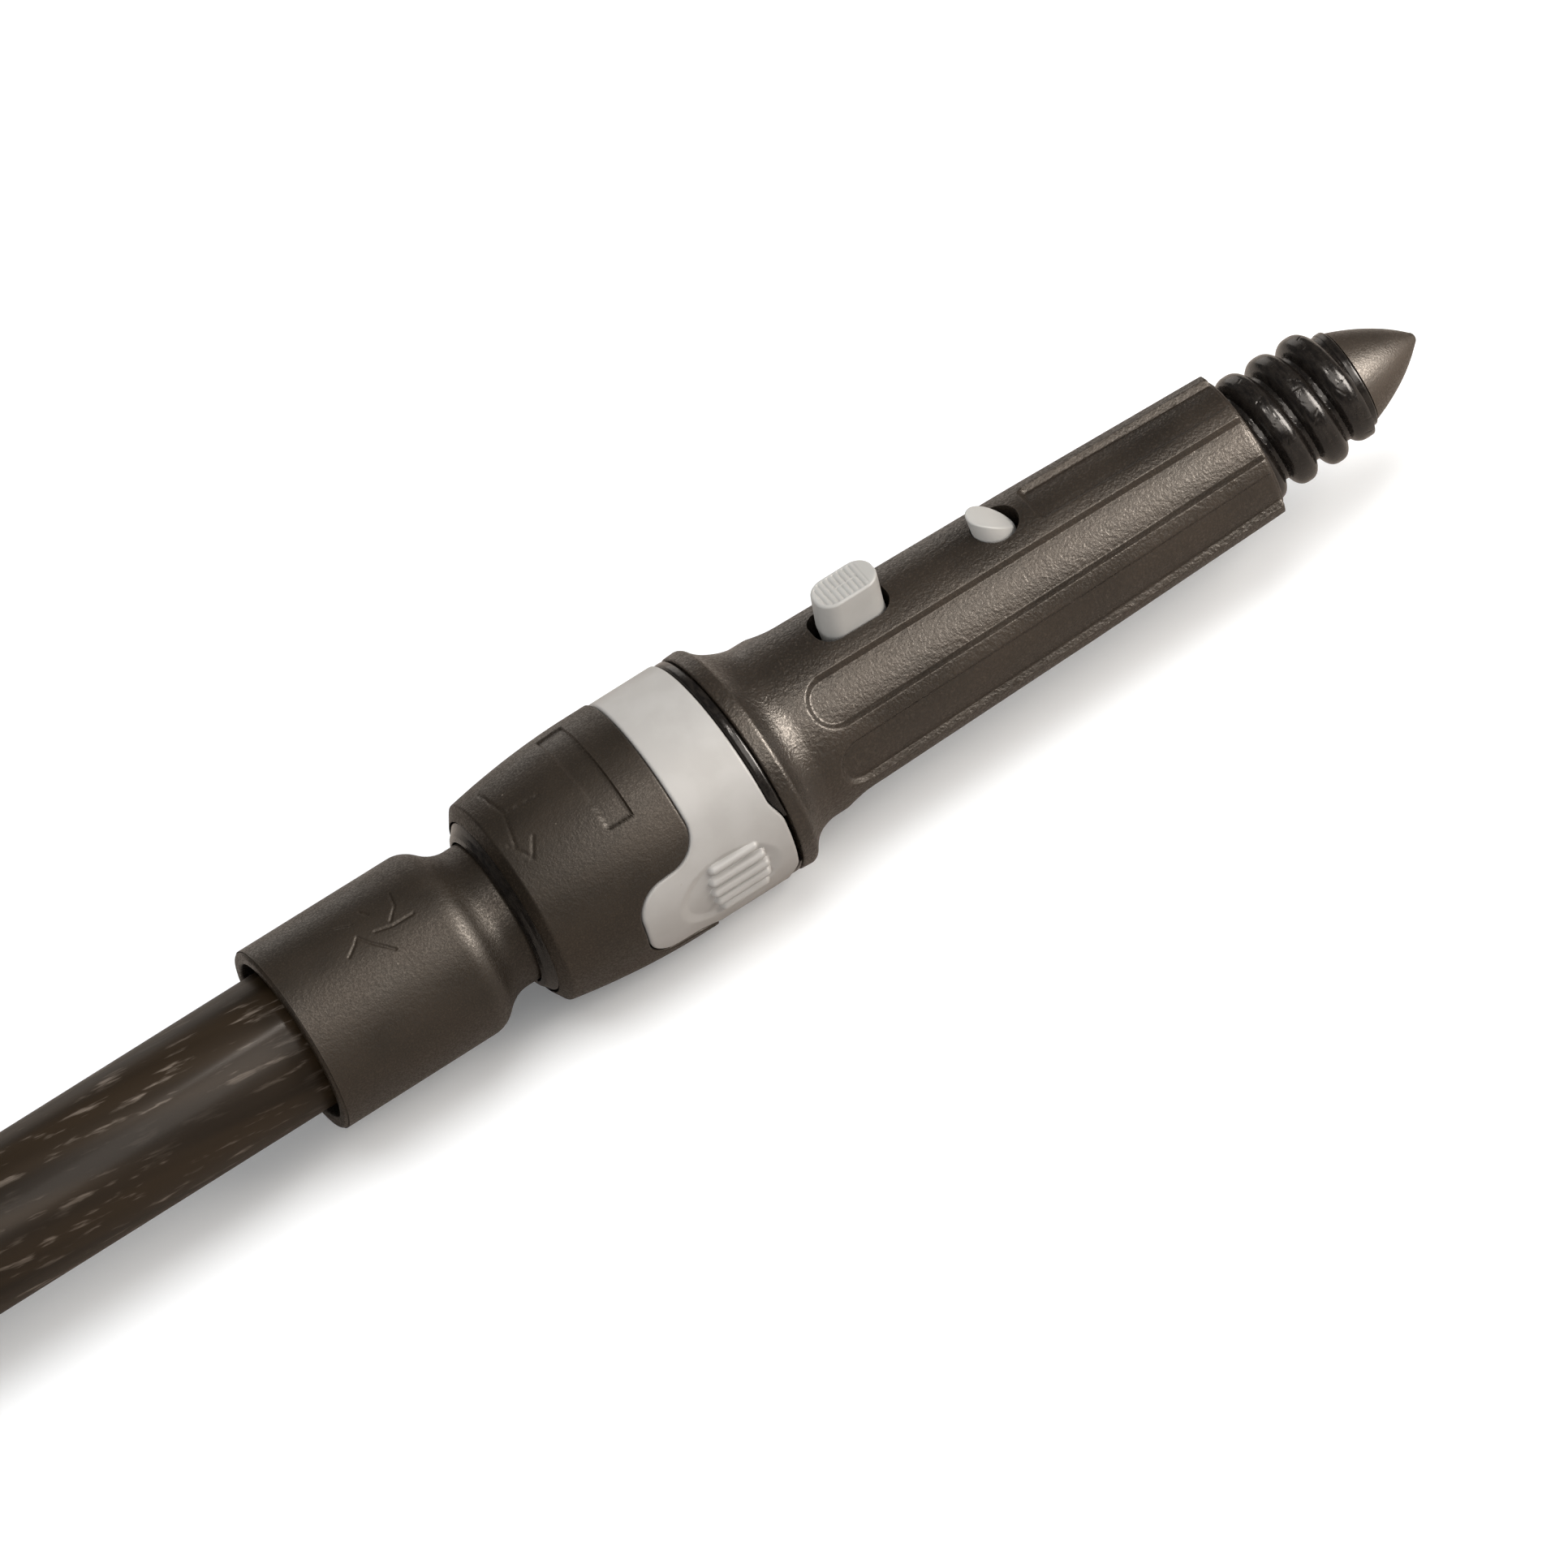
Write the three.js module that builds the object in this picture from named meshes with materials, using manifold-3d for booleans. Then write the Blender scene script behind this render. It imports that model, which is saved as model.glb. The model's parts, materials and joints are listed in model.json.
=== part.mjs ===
// Top end of a window cleaning pole: a carbon tube in a coupling sleeve, and a locking cone that plugs on.
// Millimetres. The pole's axis is X, with the nose towards +X and the thumb button up, along +Z.
// The origin is the centre of the tube's lower end face.
import * as THREE from 'three';
import { mergeVertices } from 'three/addons/utils/BufferGeometryUtils.js';
import Module from 'manifold-3d';

const wasm = await Module();
wasm.setup();

// ---- Driving dimensions. Every "back" is a distance behind the point of the nose. ----
const LENGTH = 330;
const GAP = 0.3; // clearance between a piece and the piece it sits in

const TUBE_R = 11;
const TUBE_WALL = 1.6;
const TUBE_TOP_BACK = 169; // where the tube stops inside the sleeve
const PLUG_FLANGE = 3;
const PLUG_DEPTH = 17;

const NOSE_LENGTH = 11.2;
const NOSE_BASE_R = 7.3;
const THREAD_RIM_R = 7.75;
const THREAD_RIM_REAR = 12.55;
const THREAD_ROOT_R = 7.6;
const THREAD_CREST_R = 9.6;
const THREAD_PITCH = 5.3;
const THREAD_CREST_BACK = 15.5; // where the ridge's crest crosses the top
const TIP_STUB_R = 5.9;

const CONE_FRONT = 30.1;
const CONE_FRONT_R = 12;
const CONE_NECK_BACK = 109;
const CONE_NECK_R = 14.12;
const CONE_BULGE = 0.2; // how far the cone's side stands outside a straight line, half way along
const FLANGE_FRONT = 115;
const FLANGE_BACK = 117.3;
const FLANGE_R = 18;
const FLUTES = 8;
const FLUTE_DEPTH = 0.8;
const FLUTE_HALF_ANGLE = THREE.MathUtils.degToRad(17);
const FLUTE_END = 106.3;
const SHORT_FLUTE_END = 62.6;
const CAVITY_FRONT = 50;
const CAVITY_FRONT_R = 9.2;
const CAVITY_REAR_R = 10.8;

const PIVOT_BACK = 112.5;
const PIVOT_Z = 9.6;
const PIVOT_R = 1.25;
const PIN_LENGTH = 18;
const LEVER_WIDTH = 6;
const LEVER_TOP = 8.6;
const LEVER_THICK = 3;
const BUTTON_BACK = 92.8;
const BUTTON_LENGTH = 10.3;
const BUTTON_WIDTH = 6.6;
const BUTTON_TOP = 19;
const PAWL_BACK = 68.6;
const PAWL_R = 3.1;
const PAWL_TOP = 16.5;
const SPRING_BACK = 80;
const SPRING_R = 2.4;
const SPRING_WIRE_R = 0.35;
const SPRING_TURNS = 6;

const SOCKET_R = 13.6;
const SOCKET_BORE_R = 11.6;
const SOCKET_FRONT = 114.3;
const SOCKET_REAR = 155.2;
const WASHER_R = 17.8;
const RING_FRONT = 119.2;
const RING_REAR = 130.5;
const RING_R = 18.05;
const RING_BORE_R = 15.8;
const TONGUE_FRONT = 117.5; // the ring's front edge in front of the thumb pad
const LOBE_REAR = 142.5;
const LOBE_HALF_WIDTH = 7.2;
const PAD_ANGLE = THREE.MathUtils.degToRad(98.5); // from the button round to -Y
const TOOTH_BACK = 127.4;
const TOOTH_TOP = 15; // where the tooth is let into the ring's boss
const BARREL_R = 18.3;
const BARREL_REAR = 156.2;
const MOUTH_R = 14;
const MOUTH_REAR = 157.6;

const SPIGOT_R = 11.3;
const SPIGOT_BORE_R = 8;
const SPIGOT_FRONT = 124.2;
const O_RING_WIRE_R = 0.8;
const O_RING_BACKS = [140.2, 146.2];
const GROOVE_FLOOR_R = 9.9; // floor of the latch groove and of the O-ring grooves
const SHOULDER_BACK = 167;
const SLEEVE_R = 14.8;
const SLEEVE_REAR = 192.8;
const RECESS_R = 12.8;
const RECESS_FRONT = 186.5;

const ROUND = 36; // facets round the big turned pieces
const SMALL_ROUND = 24;

const station = (back) => LENGTH - back;
const point = (back, radius) => [back, radius];

// ---- Solids ----

// A closed three.js geometry as a manifold-3d solid, with its faces turned outwards.
function solid(geometry) {
  const bare = geometry.clone();
  bare.deleteAttribute('normal');
  bare.deleteAttribute('uv');
  const merged = mergeVertices(bare, 1e-4);
  const triVerts = new Uint32Array(merged.index.array);
  const vertProperties = merged.attributes.position.array;
  const build = () => new wasm.Manifold(new wasm.Mesh({ numProp: 3, vertProperties, triVerts }));
  const first = build();
  if (first.volume() > 0) return first;
  for (let i = 0; i < triVerts.length; i += 3) {
    [triVerts[i + 1], triVerts[i + 2]] = [triVerts[i + 2], triVerts[i + 1]];
  }
  return build();
}

function geometryOf(manifold) {
  const { numProp, numVert, vertProperties, triVerts } = manifold.getMesh();
  const position = new Float32Array(numVert * 3);
  for (let i = 0; i < numVert; i++) {
    position.set(vertProperties.subarray(i * numProp, i * numProp + 3), i * 3);
  }
  const geometry = new THREE.BufferGeometry();
  geometry.setAttribute('position', new THREE.BufferAttribute(position, 3));
  geometry.setIndex(new THREE.BufferAttribute(new Uint32Array(triVerts), 1));
  geometry.computeVertexNormals();
  return geometry;
}

// A solid of revolution about the pole's axis, from [back, radius] pairs or a path of them.
function turned(outline, facets = ROUND) {
  const pairs = outline.getPoints ? outline.getPoints(5).map((p) => [p.x, p.y]) : outline;
  const profile = pairs.map(([back, radius]) => new THREE.Vector2(radius, station(back)));
  return solid(new THREE.LatheGeometry(profile, facets).rotateZ(-Math.PI / 2));
}

// A ring or tube of rectangular section.
function sleeveOf(front, rear, inner, outer, facets = ROUND) {
  const corners = [point(front, inner), point(front, outer), point(rear, outer), point(rear, inner)];
  return turned([...corners, corners[0]], facets);
}

function boxOf(front, rear, halfWidth, bottom, top) {
  const box = new THREE.BoxGeometry(rear - front, 2 * halfWidth, top - bottom);
  return solid(box.translate(station((front + rear) / 2), 0, (top + bottom) / 2));
}

// A round bar along Z whose centre is a distance behind the nose.
function postOf(back, radius, bottom, top, facets = SMALL_ROUND) {
  const post = new THREE.CylinderGeometry(radius, radius, top - bottom, facets).rotateX(Math.PI / 2);
  return solid(post.translate(station(back), 0, (top + bottom) / 2));
}

// A round bar across the pole, along Y, through the latch's pivot.
function crossBar(radius, length) {
  const bar = new THREE.CylinderGeometry(radius, radius, length, SMALL_ROUND);
  return solid(bar.translate(station(PIVOT_BACK), 0, PIVOT_Z));
}

// A flat outline drawn as (x, sideways), extruded upwards and turned about the pole's axis towards -Y.
function standing(outline, bottom, top, angle = 0) {
  const depth = top - bottom;
  const prism = new THREE.ExtrudeGeometry(outline, { depth, bevelEnabled: false, curveSegments: 8 });
  return solid(prism.translate(0, 0, bottom).rotateX(angle));
}

const together = (first, ...others) => others.reduce((sum, each) => sum.add(each), first);
const without = (first, ...others) => others.reduce((rest, each) => rest.subtract(each), first);

function roundedRectangle(x0, x1, halfWidth, corner) {
  const outline = new THREE.Shape();
  outline.moveTo(x0 + corner, -halfWidth);
  outline.lineTo(x1 - corner, -halfWidth);
  outline.absarc(x1 - corner, corner - halfWidth, corner, -Math.PI / 2, 0);
  outline.absarc(x1 - corner, halfWidth - corner, corner, 0, Math.PI / 2);
  outline.absarc(x0 + corner, halfWidth - corner, corner, Math.PI / 2, Math.PI);
  outline.absarc(x0 + corner, corner - halfWidth, corner, Math.PI, 1.5 * Math.PI);
  return outline;
}

// ---- The pole ----

function poleTube() {
  return sleeveOf(TUBE_TOP_BACK, LENGTH - PLUG_FLANGE, TUBE_R - TUBE_WALL, TUBE_R);
}

function tubeEndPlug() {
  const chamfer = 0.6;
  const stemR = TUBE_R - TUBE_WALL - GAP;
  const hollowR = 6.5;
  const rear = LENGTH - PLUG_FLANGE;
  return turned([
    point(LENGTH, 0), point(LENGTH, TUBE_R - chamfer), point(LENGTH - chamfer, TUBE_R), point(rear, TUBE_R),
    point(rear, stemR), point(rear - PLUG_DEPTH, stemR), point(rear - PLUG_DEPTH, hollowR),
    point(rear, hollowR), point(rear, 0),
  ]);
}

// The sleeve's bore takes the tube from behind; its front end is the spigot that the head plugs onto.
function couplingSleeve() {
  const lead = 0.8;
  const latchGroove = [125.8, 129];
  const neckBack = 159.6;
  const lip = 0.4;
  const outline = new THREE.Path();
  const draw = (pairs) => pairs.forEach(([back, radius]) => outline.lineTo(back, radius));
  const groove = (front, rear) => [
    point(front, SPIGOT_R), point(front, GROOVE_FLOOR_R), point(rear, GROOVE_FLOOR_R), point(rear, SPIGOT_R),
  ];
  outline.moveTo(SPIGOT_FRONT, SPIGOT_BORE_R);
  draw([point(SPIGOT_FRONT, SPIGOT_R - lead), point(SPIGOT_FRONT + lead, SPIGOT_R)]);
  draw(groove(...latchGroove));
  const halfGroove = O_RING_WIRE_R + GAP / 2;
  O_RING_BACKS.forEach((back) => draw(groove(back - halfGroove, back + halfGroove)));
  draw([point(neckBack, SPIGOT_R)]);
  outline.quadraticCurveTo(161.5, SPIGOT_R + 0.1, 163.3, 13.1);
  outline.quadraticCurveTo(165, SLEEVE_R - 0.15, SHOULDER_BACK, SLEEVE_R - 0.1);
  draw([
    point(SLEEVE_REAR - lip, SLEEVE_R), point(SLEEVE_REAR, SLEEVE_R - lip),
    point(SLEEVE_REAR, RECESS_R + lip), point(SLEEVE_REAR - lip, RECESS_R),
    point(RECESS_FRONT, RECESS_R), point(RECESS_FRONT, TUBE_R + GAP),
    point(TUBE_TOP_BACK - GAP, TUBE_R + GAP), point(TUBE_TOP_BACK - GAP, SPIGOT_BORE_R),
    point(SPIGOT_FRONT, SPIGOT_BORE_R),
  ]);
  return turned(outline);
}

function sleeveLiner() {
  return sleeveOf(RECESS_FRONT + GAP, RECESS_FRONT + 3, TUBE_R + GAP, RECESS_R - GAP);
}

function oRing(back) {
  const squeeze = 0.05;
  const torus = new THREE.TorusGeometry(GROOVE_FLOOR_R + O_RING_WIRE_R, O_RING_WIRE_R - squeeze, 6, ROUND);
  return solid(torus.rotateY(Math.PI / 2).translate(station(back), 0, 0));
}

// ---- The tip ----

function noseCone() {
  const stubR = 4.7;
  const stubRear = 17;
  const screwR = 2.3;
  const outline = new THREE.Path();
  outline.moveTo(0, 0);
  outline.quadraticCurveTo(0, 0.55, 0.6, 0.95);
  outline.quadraticCurveTo(4.67, 4.82, NOSE_LENGTH, NOSE_BASE_R);
  outline.lineTo(NOSE_LENGTH, stubR);
  outline.lineTo(stubRear, stubR);
  outline.lineTo(stubRear, screwR);
  outline.lineTo(NOSE_LENGTH, screwR);
  outline.lineTo(NOSE_LENGTH - 2, 0);
  return turned(outline, SMALL_ROUND);
}

// Height of the round-crested, right-handed ridge, at an angle from +Z towards -Y.
function threadRadius(back, angle) {
  const ridgeHalfWidth = 2.3;
  const turn = (back - THREAD_CREST_BACK) / THREAD_PITCH + angle / (2 * Math.PI);
  const fromCrest = (turn - Math.round(turn)) * THREAD_PITCH;
  const ridge = Math.pow(Math.max(0, 1 - Math.pow(Math.abs(fromCrest / ridgeHalfWidth), 2.8)), 0.8);
  const runIn = THREE.MathUtils.smoothstep(back - fromCrest, 11.3, 15.3);
  return THREAD_ROOT_R + (THREAD_CREST_R - THREAD_ROOT_R) * ridge * runIn;
}

function threadedTip() {
  const front = NOSE_LENGTH + 0.2;
  const rings = 36;
  const faces = 28;
  const frontBoreR = 5;
  const frontBoreRear = 17.4;
  const screwBoreR = 2.3;
  const stubRear = 45.6;
  const rear = CONE_FRONT - 0.1;
  const root = [];
  for (let i = 0; i <= rings; i++) {
    root.push(point(THREE.MathUtils.lerp(THREAD_RIM_REAR, rear, i / rings), THREAD_ROOT_R));
  }
  const pairs = [
    point(front, frontBoreR), point(front, THREAD_RIM_R - 0.4), point(front + 0.4, THREAD_RIM_R),
    point(THREAD_RIM_REAR - 0.1, THREAD_RIM_R), ...root, point(rear, TIP_STUB_R),
    point(stubRear, TIP_STUB_R), point(stubRear, screwBoreR), point(frontBoreRear, screwBoreR),
    point(frontBoreRear, frontBoreR), point(front, frontBoreR),
  ];
  const profile = pairs.map(([back, radius]) => new THREE.Vector2(radius, station(back)));
  const lathe = new THREE.LatheGeometry(profile, faces).rotateZ(-Math.PI / 2);
  const position = lathe.attributes.position;
  for (let i = 0; i < position.count; i++) {
    const y = position.getY(i);
    const z = position.getZ(i);
    const radius = Math.hypot(y, z);
    if (Math.abs(radius - THREAD_ROOT_R) > 0.01) continue;
    const grown = threadRadius(LENGTH - position.getX(i), Math.atan2(-y, z)) / radius;
    position.setY(i, y * grown);
    position.setZ(i, z * grown);
  }
  return solid(lathe);
}

// The screw that draws the nose and the threaded tip back into the cone.
function tipScrew() {
  const headFront = CAVITY_FRONT + 0.1;
  return turned([
    point(12, 0), point(12, 1.6), point(12.6, 2), point(headFront, 2), point(headFront, 4),
    point(headFront + 3, 4), point(headFront + 3, 2), point(headFront + 1, 1.5), point(headFront + 1, 0),
  ], SMALL_ROUND);
}

// ---- The cone and its latch ----

// The cone's outside; shrink is how far below the surface, for the floor of the flutes.
function coneSkin(shrink) {
  const rim = 0.35;
  const middleBack = (CONE_FRONT + CONE_NECK_BACK) / 2;
  const middleR = (CONE_FRONT_R + CONE_NECK_R) / 2 + 2 * CONE_BULGE;
  const outline = new THREE.Path();
  outline.moveTo(CONE_FRONT, 0);
  outline.lineTo(CONE_FRONT, CONE_FRONT_R - rim - shrink);
  outline.lineTo(CONE_FRONT + rim, CONE_FRONT_R - shrink);
  outline.quadraticCurveTo(middleBack, middleR - shrink, CONE_NECK_BACK, CONE_NECK_R - shrink);
  outline.quadraticCurveTo(112.6, 14.9 - shrink, FLANGE_FRONT - 0.1, FLANGE_R - rim - shrink);
  outline.lineTo(FLANGE_FRONT + rim, FLANGE_R - shrink);
  outline.lineTo(FLANGE_BACK - rim, FLANGE_R - shrink);
  outline.lineTo(FLANGE_BACK, FLANGE_R - rim - shrink);
  outline.lineTo(FLANGE_BACK, 0);
  return turned(outline);
}

// A wedge from the front end of the cone, with a round end, that marks out one flute.
function fluteWedge(angle, end) {
  const reach = 20;
  const endR = 4.35;
  const halfWidth = reach * Math.tan(FLUTE_HALF_ANGLE);
  const sector = new THREE.Shape([
    new THREE.Vector2(0, 0), new THREE.Vector2(reach, halfWidth), new THREE.Vector2(reach, -halfWidth),
  ]);
  const front = CONE_FRONT - 1;
  const prism = new THREE.ExtrudeGeometry(sector, { depth: end - endR - front, bevelEnabled: false });
  prism.rotateY(-Math.PI / 2).translate(station(front), 0, 0);
  const roundEnd = new THREE.CylinderGeometry(endR, endR, reach, SMALL_ROUND).rotateX(Math.PI / 2);
  roundEnd.translate(station(end - endR), 0, reach / 2);
  return together(solid(prism.rotateX(angle)), solid(roundEnd.rotateX(angle)));
}

function coneHollow() {
  const screwHoleR = 2.4;
  const stubBoreR = TIP_STUB_R + GAP;
  const stubBoreRear = 46;
  const counterboreFront = 114;
  return turned([
    point(CONE_FRONT - 1, 0), point(CONE_FRONT - 1, stubBoreR), point(stubBoreRear, stubBoreR),
    point(stubBoreRear, screwHoleR), point(CAVITY_FRONT, screwHoleR), point(CAVITY_FRONT, CAVITY_FRONT_R),
    point(counterboreFront, CAVITY_REAR_R), point(counterboreFront, SOCKET_R + GAP),
    point(FLANGE_BACK + 1, SOCKET_R + GAP), point(FLANGE_BACK + 1, 0),
  ]);
}

// Openings in the cone: for the button, the pawl, the pivot pin's cradle and the lever's boss.
function buttonSlot() {
  const tipGap = 0.65;
  const flangeGap = 1.25;
  const x0 = station(BUTTON_BACK + BUTTON_LENGTH / 2 + flangeGap);
  const x1 = station(BUTTON_BACK - BUTTON_LENGTH / 2 - tipGap);
  return standing(roundedRectangle(x0, x1, BUTTON_WIDTH / 2 + GAP, 2.9), LEVER_TOP, BUTTON_TOP);
}

function pawlHole() {
  return postOf(PAWL_BACK - 0.45, PAWL_R + 0.6, LEVER_TOP, BUTTON_TOP);
}

function pivotCradle() {
  const playR = PIVOT_R + 0.2;
  const pinSlot = boxOf(PIVOT_BACK, FLANGE_BACK + 1, PIN_LENGTH / 2 + GAP, PIVOT_Z - playR, PIVOT_Z + playR);
  const bossR = 2.1 + GAP;
  const bossRoom = boxOf(PIVOT_BACK - bossR, FLANGE_BACK + 1, LEVER_WIDTH / 2 + GAP, 0, PIVOT_Z + bossR);
  return together(pinSlot, bossRoom, crossBar(playR, PIN_LENGTH + 2 * GAP));
}

function coneBody() {
  const flutes = [fluteWedge(0, SHORT_FLUTE_END)];
  for (let i = 1; i < FLUTES; i++) flutes.push(fluteWedge((2 * Math.PI * i) / FLUTES, FLUTE_END));
  const ribbed = together(coneSkin(FLUTE_DEPTH), without(coneSkin(0), ...flutes));
  return without(ribbed, coneHollow(), buttonSlot(), pawlHole(), pivotCradle());
}

function latchPivotPin() {
  return crossBar(PIVOT_R, PIN_LENGTH);
}

function latchLever() {
  const bossR = 2.1;
  const front = PAWL_BACK - 4;
  const outline = new THREE.Shape();
  const x = station(PIVOT_BACK);
  outline.moveTo(station(front), LEVER_TOP - LEVER_THICK);
  outline.lineTo(station(front), LEVER_TOP);
  outline.lineTo(x + 4.5, LEVER_TOP);
  outline.lineTo(x + bossR * 0.71, PIVOT_Z + bossR * 0.71);
  outline.absarc(x, PIVOT_Z, bossR, Math.PI / 4, 1.5 * Math.PI);
  outline.lineTo(x + 5, LEVER_TOP - LEVER_THICK);
  const hole = new THREE.Path();
  hole.absarc(x, PIVOT_Z, PIVOT_R + 0.15, 0, 2 * Math.PI);
  outline.holes.push(hole);
  const depth = LEVER_WIDTH;
  const bar = new THREE.ExtrudeGeometry(outline, { depth, bevelEnabled: false, curveSegments: 8 });
  return solid(bar.translate(0, 0, -depth / 2).rotateX(Math.PI / 2));
}

function thumbButton() {
  const chamfer = 0.9;
  const x0 = station(BUTTON_BACK + BUTTON_LENGTH / 2);
  const x1 = station(BUTTON_BACK - BUTTON_LENGTH / 2);
  const outline = roundedRectangle(x0 + chamfer, x1 - chamfer, BUTTON_WIDTH / 2 - chamfer, 1.9);
  const bottom = LEVER_TOP + 0.1;
  const block = new THREE.ExtrudeGeometry(outline, {
    depth: BUTTON_TOP - chamfer - bottom, bevelThickness: chamfer, bevelSize: chamfer, bevelSegments: 2,
    curveSegments: 5,
  });
  const foot = boxOf(LENGTH - x1 + 1, LENGTH - x0 - 1, BUTTON_WIDTH / 2 - 1, bottom, bottom + 2);
  const above = boxOf(LENGTH - x1 - 1, LENGTH - x0 + 1, BUTTON_WIDTH, bottom, BUTTON_TOP + 1);
  return together(solid(block.translate(0, 0, bottom)).intersect(above), foot);
}

// The pawl stands proud towards the flange and slopes down to the cone's surface towards the tip.
function latchPawl() {
  const x0 = station(PAWL_BACK + 1.6);
  const x1 = station(PAWL_BACK - 4);
  const slope = new THREE.Shape([
    new THREE.Vector2(x0, PAWL_TOP), new THREE.Vector2(x1, 12.4),
    new THREE.Vector2(x1, PAWL_TOP + 1), new THREE.Vector2(x0, PAWL_TOP + 1),
  ]);
  const cutter = new THREE.ExtrudeGeometry(slope, { depth: 10, bevelEnabled: false });
  return without(
    postOf(PAWL_BACK, PAWL_R, LEVER_TOP + 0.1, PAWL_TOP),
    solid(cutter.translate(0, 0, -5).rotateX(Math.PI / 2)),
  );
}

// A coil spring standing on the cavity's floor and pushing the lever up.
function latchSpring() {
  const bottom = -9;
  const top = LEVER_TOP - LEVER_THICK - SPRING_WIRE_R - 0.1;
  class Coil extends THREE.Curve {
    getPoint(t, target = new THREE.Vector3()) {
      const angle = 2 * Math.PI * SPRING_TURNS * t;
      const height = THREE.MathUtils.lerp(bottom + SPRING_WIRE_R, top, t);
      const x = station(SPRING_BACK) + SPRING_R * Math.cos(angle);
      return target.set(x, SPRING_R * Math.sin(angle), height);
    }
  }
  const section = new THREE.Shape();
  section.absarc(0, 0, SPRING_WIRE_R, 0, 2 * Math.PI);
  return solid(new THREE.ExtrudeGeometry(section, {
    steps: SPRING_TURNS * 12, extrudePath: new Coil(), curveSegments: 3, bevelEnabled: false,
  }));
}

// ---- The quick coupling ----

// The tube that the spigot slides into, with a window for the release ring's tooth.
function couplingSocket() {
  const tube = sleeveOf(SOCKET_FRONT, SOCKET_REAR, SOCKET_BORE_R, SOCKET_R);
  return without(tube, standing(toothOutline(GAP), 10, 15, PAD_ANGLE + Math.PI));
}

// A snap ring; the gap in it leaves room for the release ring's tongue.
function flangeWasher() {
  const ring = sleeveOf(FLANGE_BACK + 0.1, RING_FRONT - 0.15, SOCKET_R + GAP, WASHER_R);
  return without(ring, standing(lobeOutline(0.15), 0, 25, PAD_ANGLE));
}

function toothOutline(gap) {
  return roundedRectangle(station(TOOTH_BACK + 1.2 + gap), station(TOOTH_BACK - 1.2 - gap), 4 + gap, 0.4);
}

// The ring's tongue, band and lobe, seen along the direction in which the ring is pressed.
function lobeOutline(gap) {
  const half = LOBE_HALF_WIDTH + gap;
  const base = half + 0.9;
  const filletR = 6;
  const cornerR = 5.5;
  const tongue = [5 + gap, 9.5 + gap]; // half-widths at its front edge and where it leaves the band
  const tongueFront = station(TONGUE_FRONT - gap);
  const front = station(RING_FRONT + 0.2); // just inside the band, so that no faces of the two coincide
  const bandRear = station(RING_REAR + gap);
  const rear = station(LOBE_REAR + gap);
  const wide = 25;
  const quarter = Math.PI / 2;
  const outline = new THREE.Shape();
  outline.moveTo(front, -wide);
  outline.lineTo(front, -tongue[1]);
  outline.lineTo(tongueFront, -tongue[0]);
  outline.lineTo(tongueFront, tongue[0]);
  outline.lineTo(front, tongue[1]);
  outline.lineTo(front, wide);
  outline.lineTo(bandRear, wide);
  outline.absarc(bandRear - filletR, base + filletR, filletR, 0, -quarter, true);
  outline.absarc(rear + cornerR, half - cornerR, cornerR, quarter, 2 * quarter);
  outline.absarc(rear + cornerR, cornerR - half, cornerR, 2 * quarter, 3 * quarter);
  outline.absarc(bandRear - filletR, -base - filletR, filletR, quarter, 0, true);
  outline.lineTo(bandRear, -wide);
  return outline;
}

// The five grip ribs on the thumb pad, side by side and parallel to the pole.
function padRibs() {
  const ribR = 0.8;
  const pitch = THREE.MathUtils.degToRad(6.8);
  const lengths = [8.4, 9.55, 9.9, 9.55, 8.4];
  const middle = station(126.75);
  return lengths.map((length, i) => {
    const rib = new THREE.CapsuleGeometry(ribR, length - 2 * ribR, 2, 8).rotateZ(Math.PI / 2);
    rib.translate(middle, 0, RING_R - 0.2).rotateX(PAD_ANGLE + (i - 2) * pitch);
    return solid(rib);
  });
}

function releaseRing() {
  const band = sleeveOf(RING_FRONT, RING_REAR, RING_BORE_R, RING_R);
  const shell = sleeveOf(TONGUE_FRONT, LOBE_REAR + 1, RING_BORE_R + 0.4, RING_R);
  const lobe = shell.intersect(standing(lobeOutline(0), 0, 25, PAD_ANGLE));
  const toothBoss = standing(toothOutline(0.8), TOOTH_TOP + 0.1, RING_BORE_R + 1, PAD_ANGLE + Math.PI);
  return together(band, lobe, toothBoss, ...padRibs());
}

// A steel tooth opposite the pad; pressing the pad lifts it out of the spigot's groove.
function ringTooth() {
  const tip = SPIGOT_R + 0.55;
  return standing(toothOutline(0), tip, TOOTH_TOP, PAD_ANGLE + Math.PI);
}

// A flat spring strip between the socket and the ring, behind the pad.
function ringReturnSpring() {
  const strip = sleeveOf(RING_FRONT + 2, RING_REAR - 2, SOCKET_R + 0.15, SOCKET_R + 0.5);
  const spread = new THREE.Shape([
    new THREE.Vector2(station(RING_REAR), -9), new THREE.Vector2(station(RING_FRONT), -9),
    new THREE.Vector2(station(RING_FRONT), 9), new THREE.Vector2(station(RING_REAR), 9),
  ]);
  return strip.intersect(standing(spread, 0, 25, PAD_ANGLE));
}

function collarBarrel() {
  const front = RING_REAR + 0.2;
  const bore = SOCKET_R + GAP;
  const outline = new THREE.Path();
  outline.moveTo(front, bore);
  outline.lineTo(front, BARREL_R);
  outline.lineTo(front + 4, BARREL_R);
  outline.quadraticCurveTo(146, BARREL_R - 0.1, 155, 16.3);
  outline.lineTo(BARREL_REAR - 0.6, 15.3);
  outline.lineTo(BARREL_REAR, MOUTH_R + GAP);
  outline.lineTo(SOCKET_REAR, MOUTH_R + GAP);
  outline.lineTo(SOCKET_REAR, bore);
  outline.lineTo(front, bore);
  return without(turned(outline), standing(lobeOutline(0.2), 0, 25, PAD_ANGLE));
}

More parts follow.
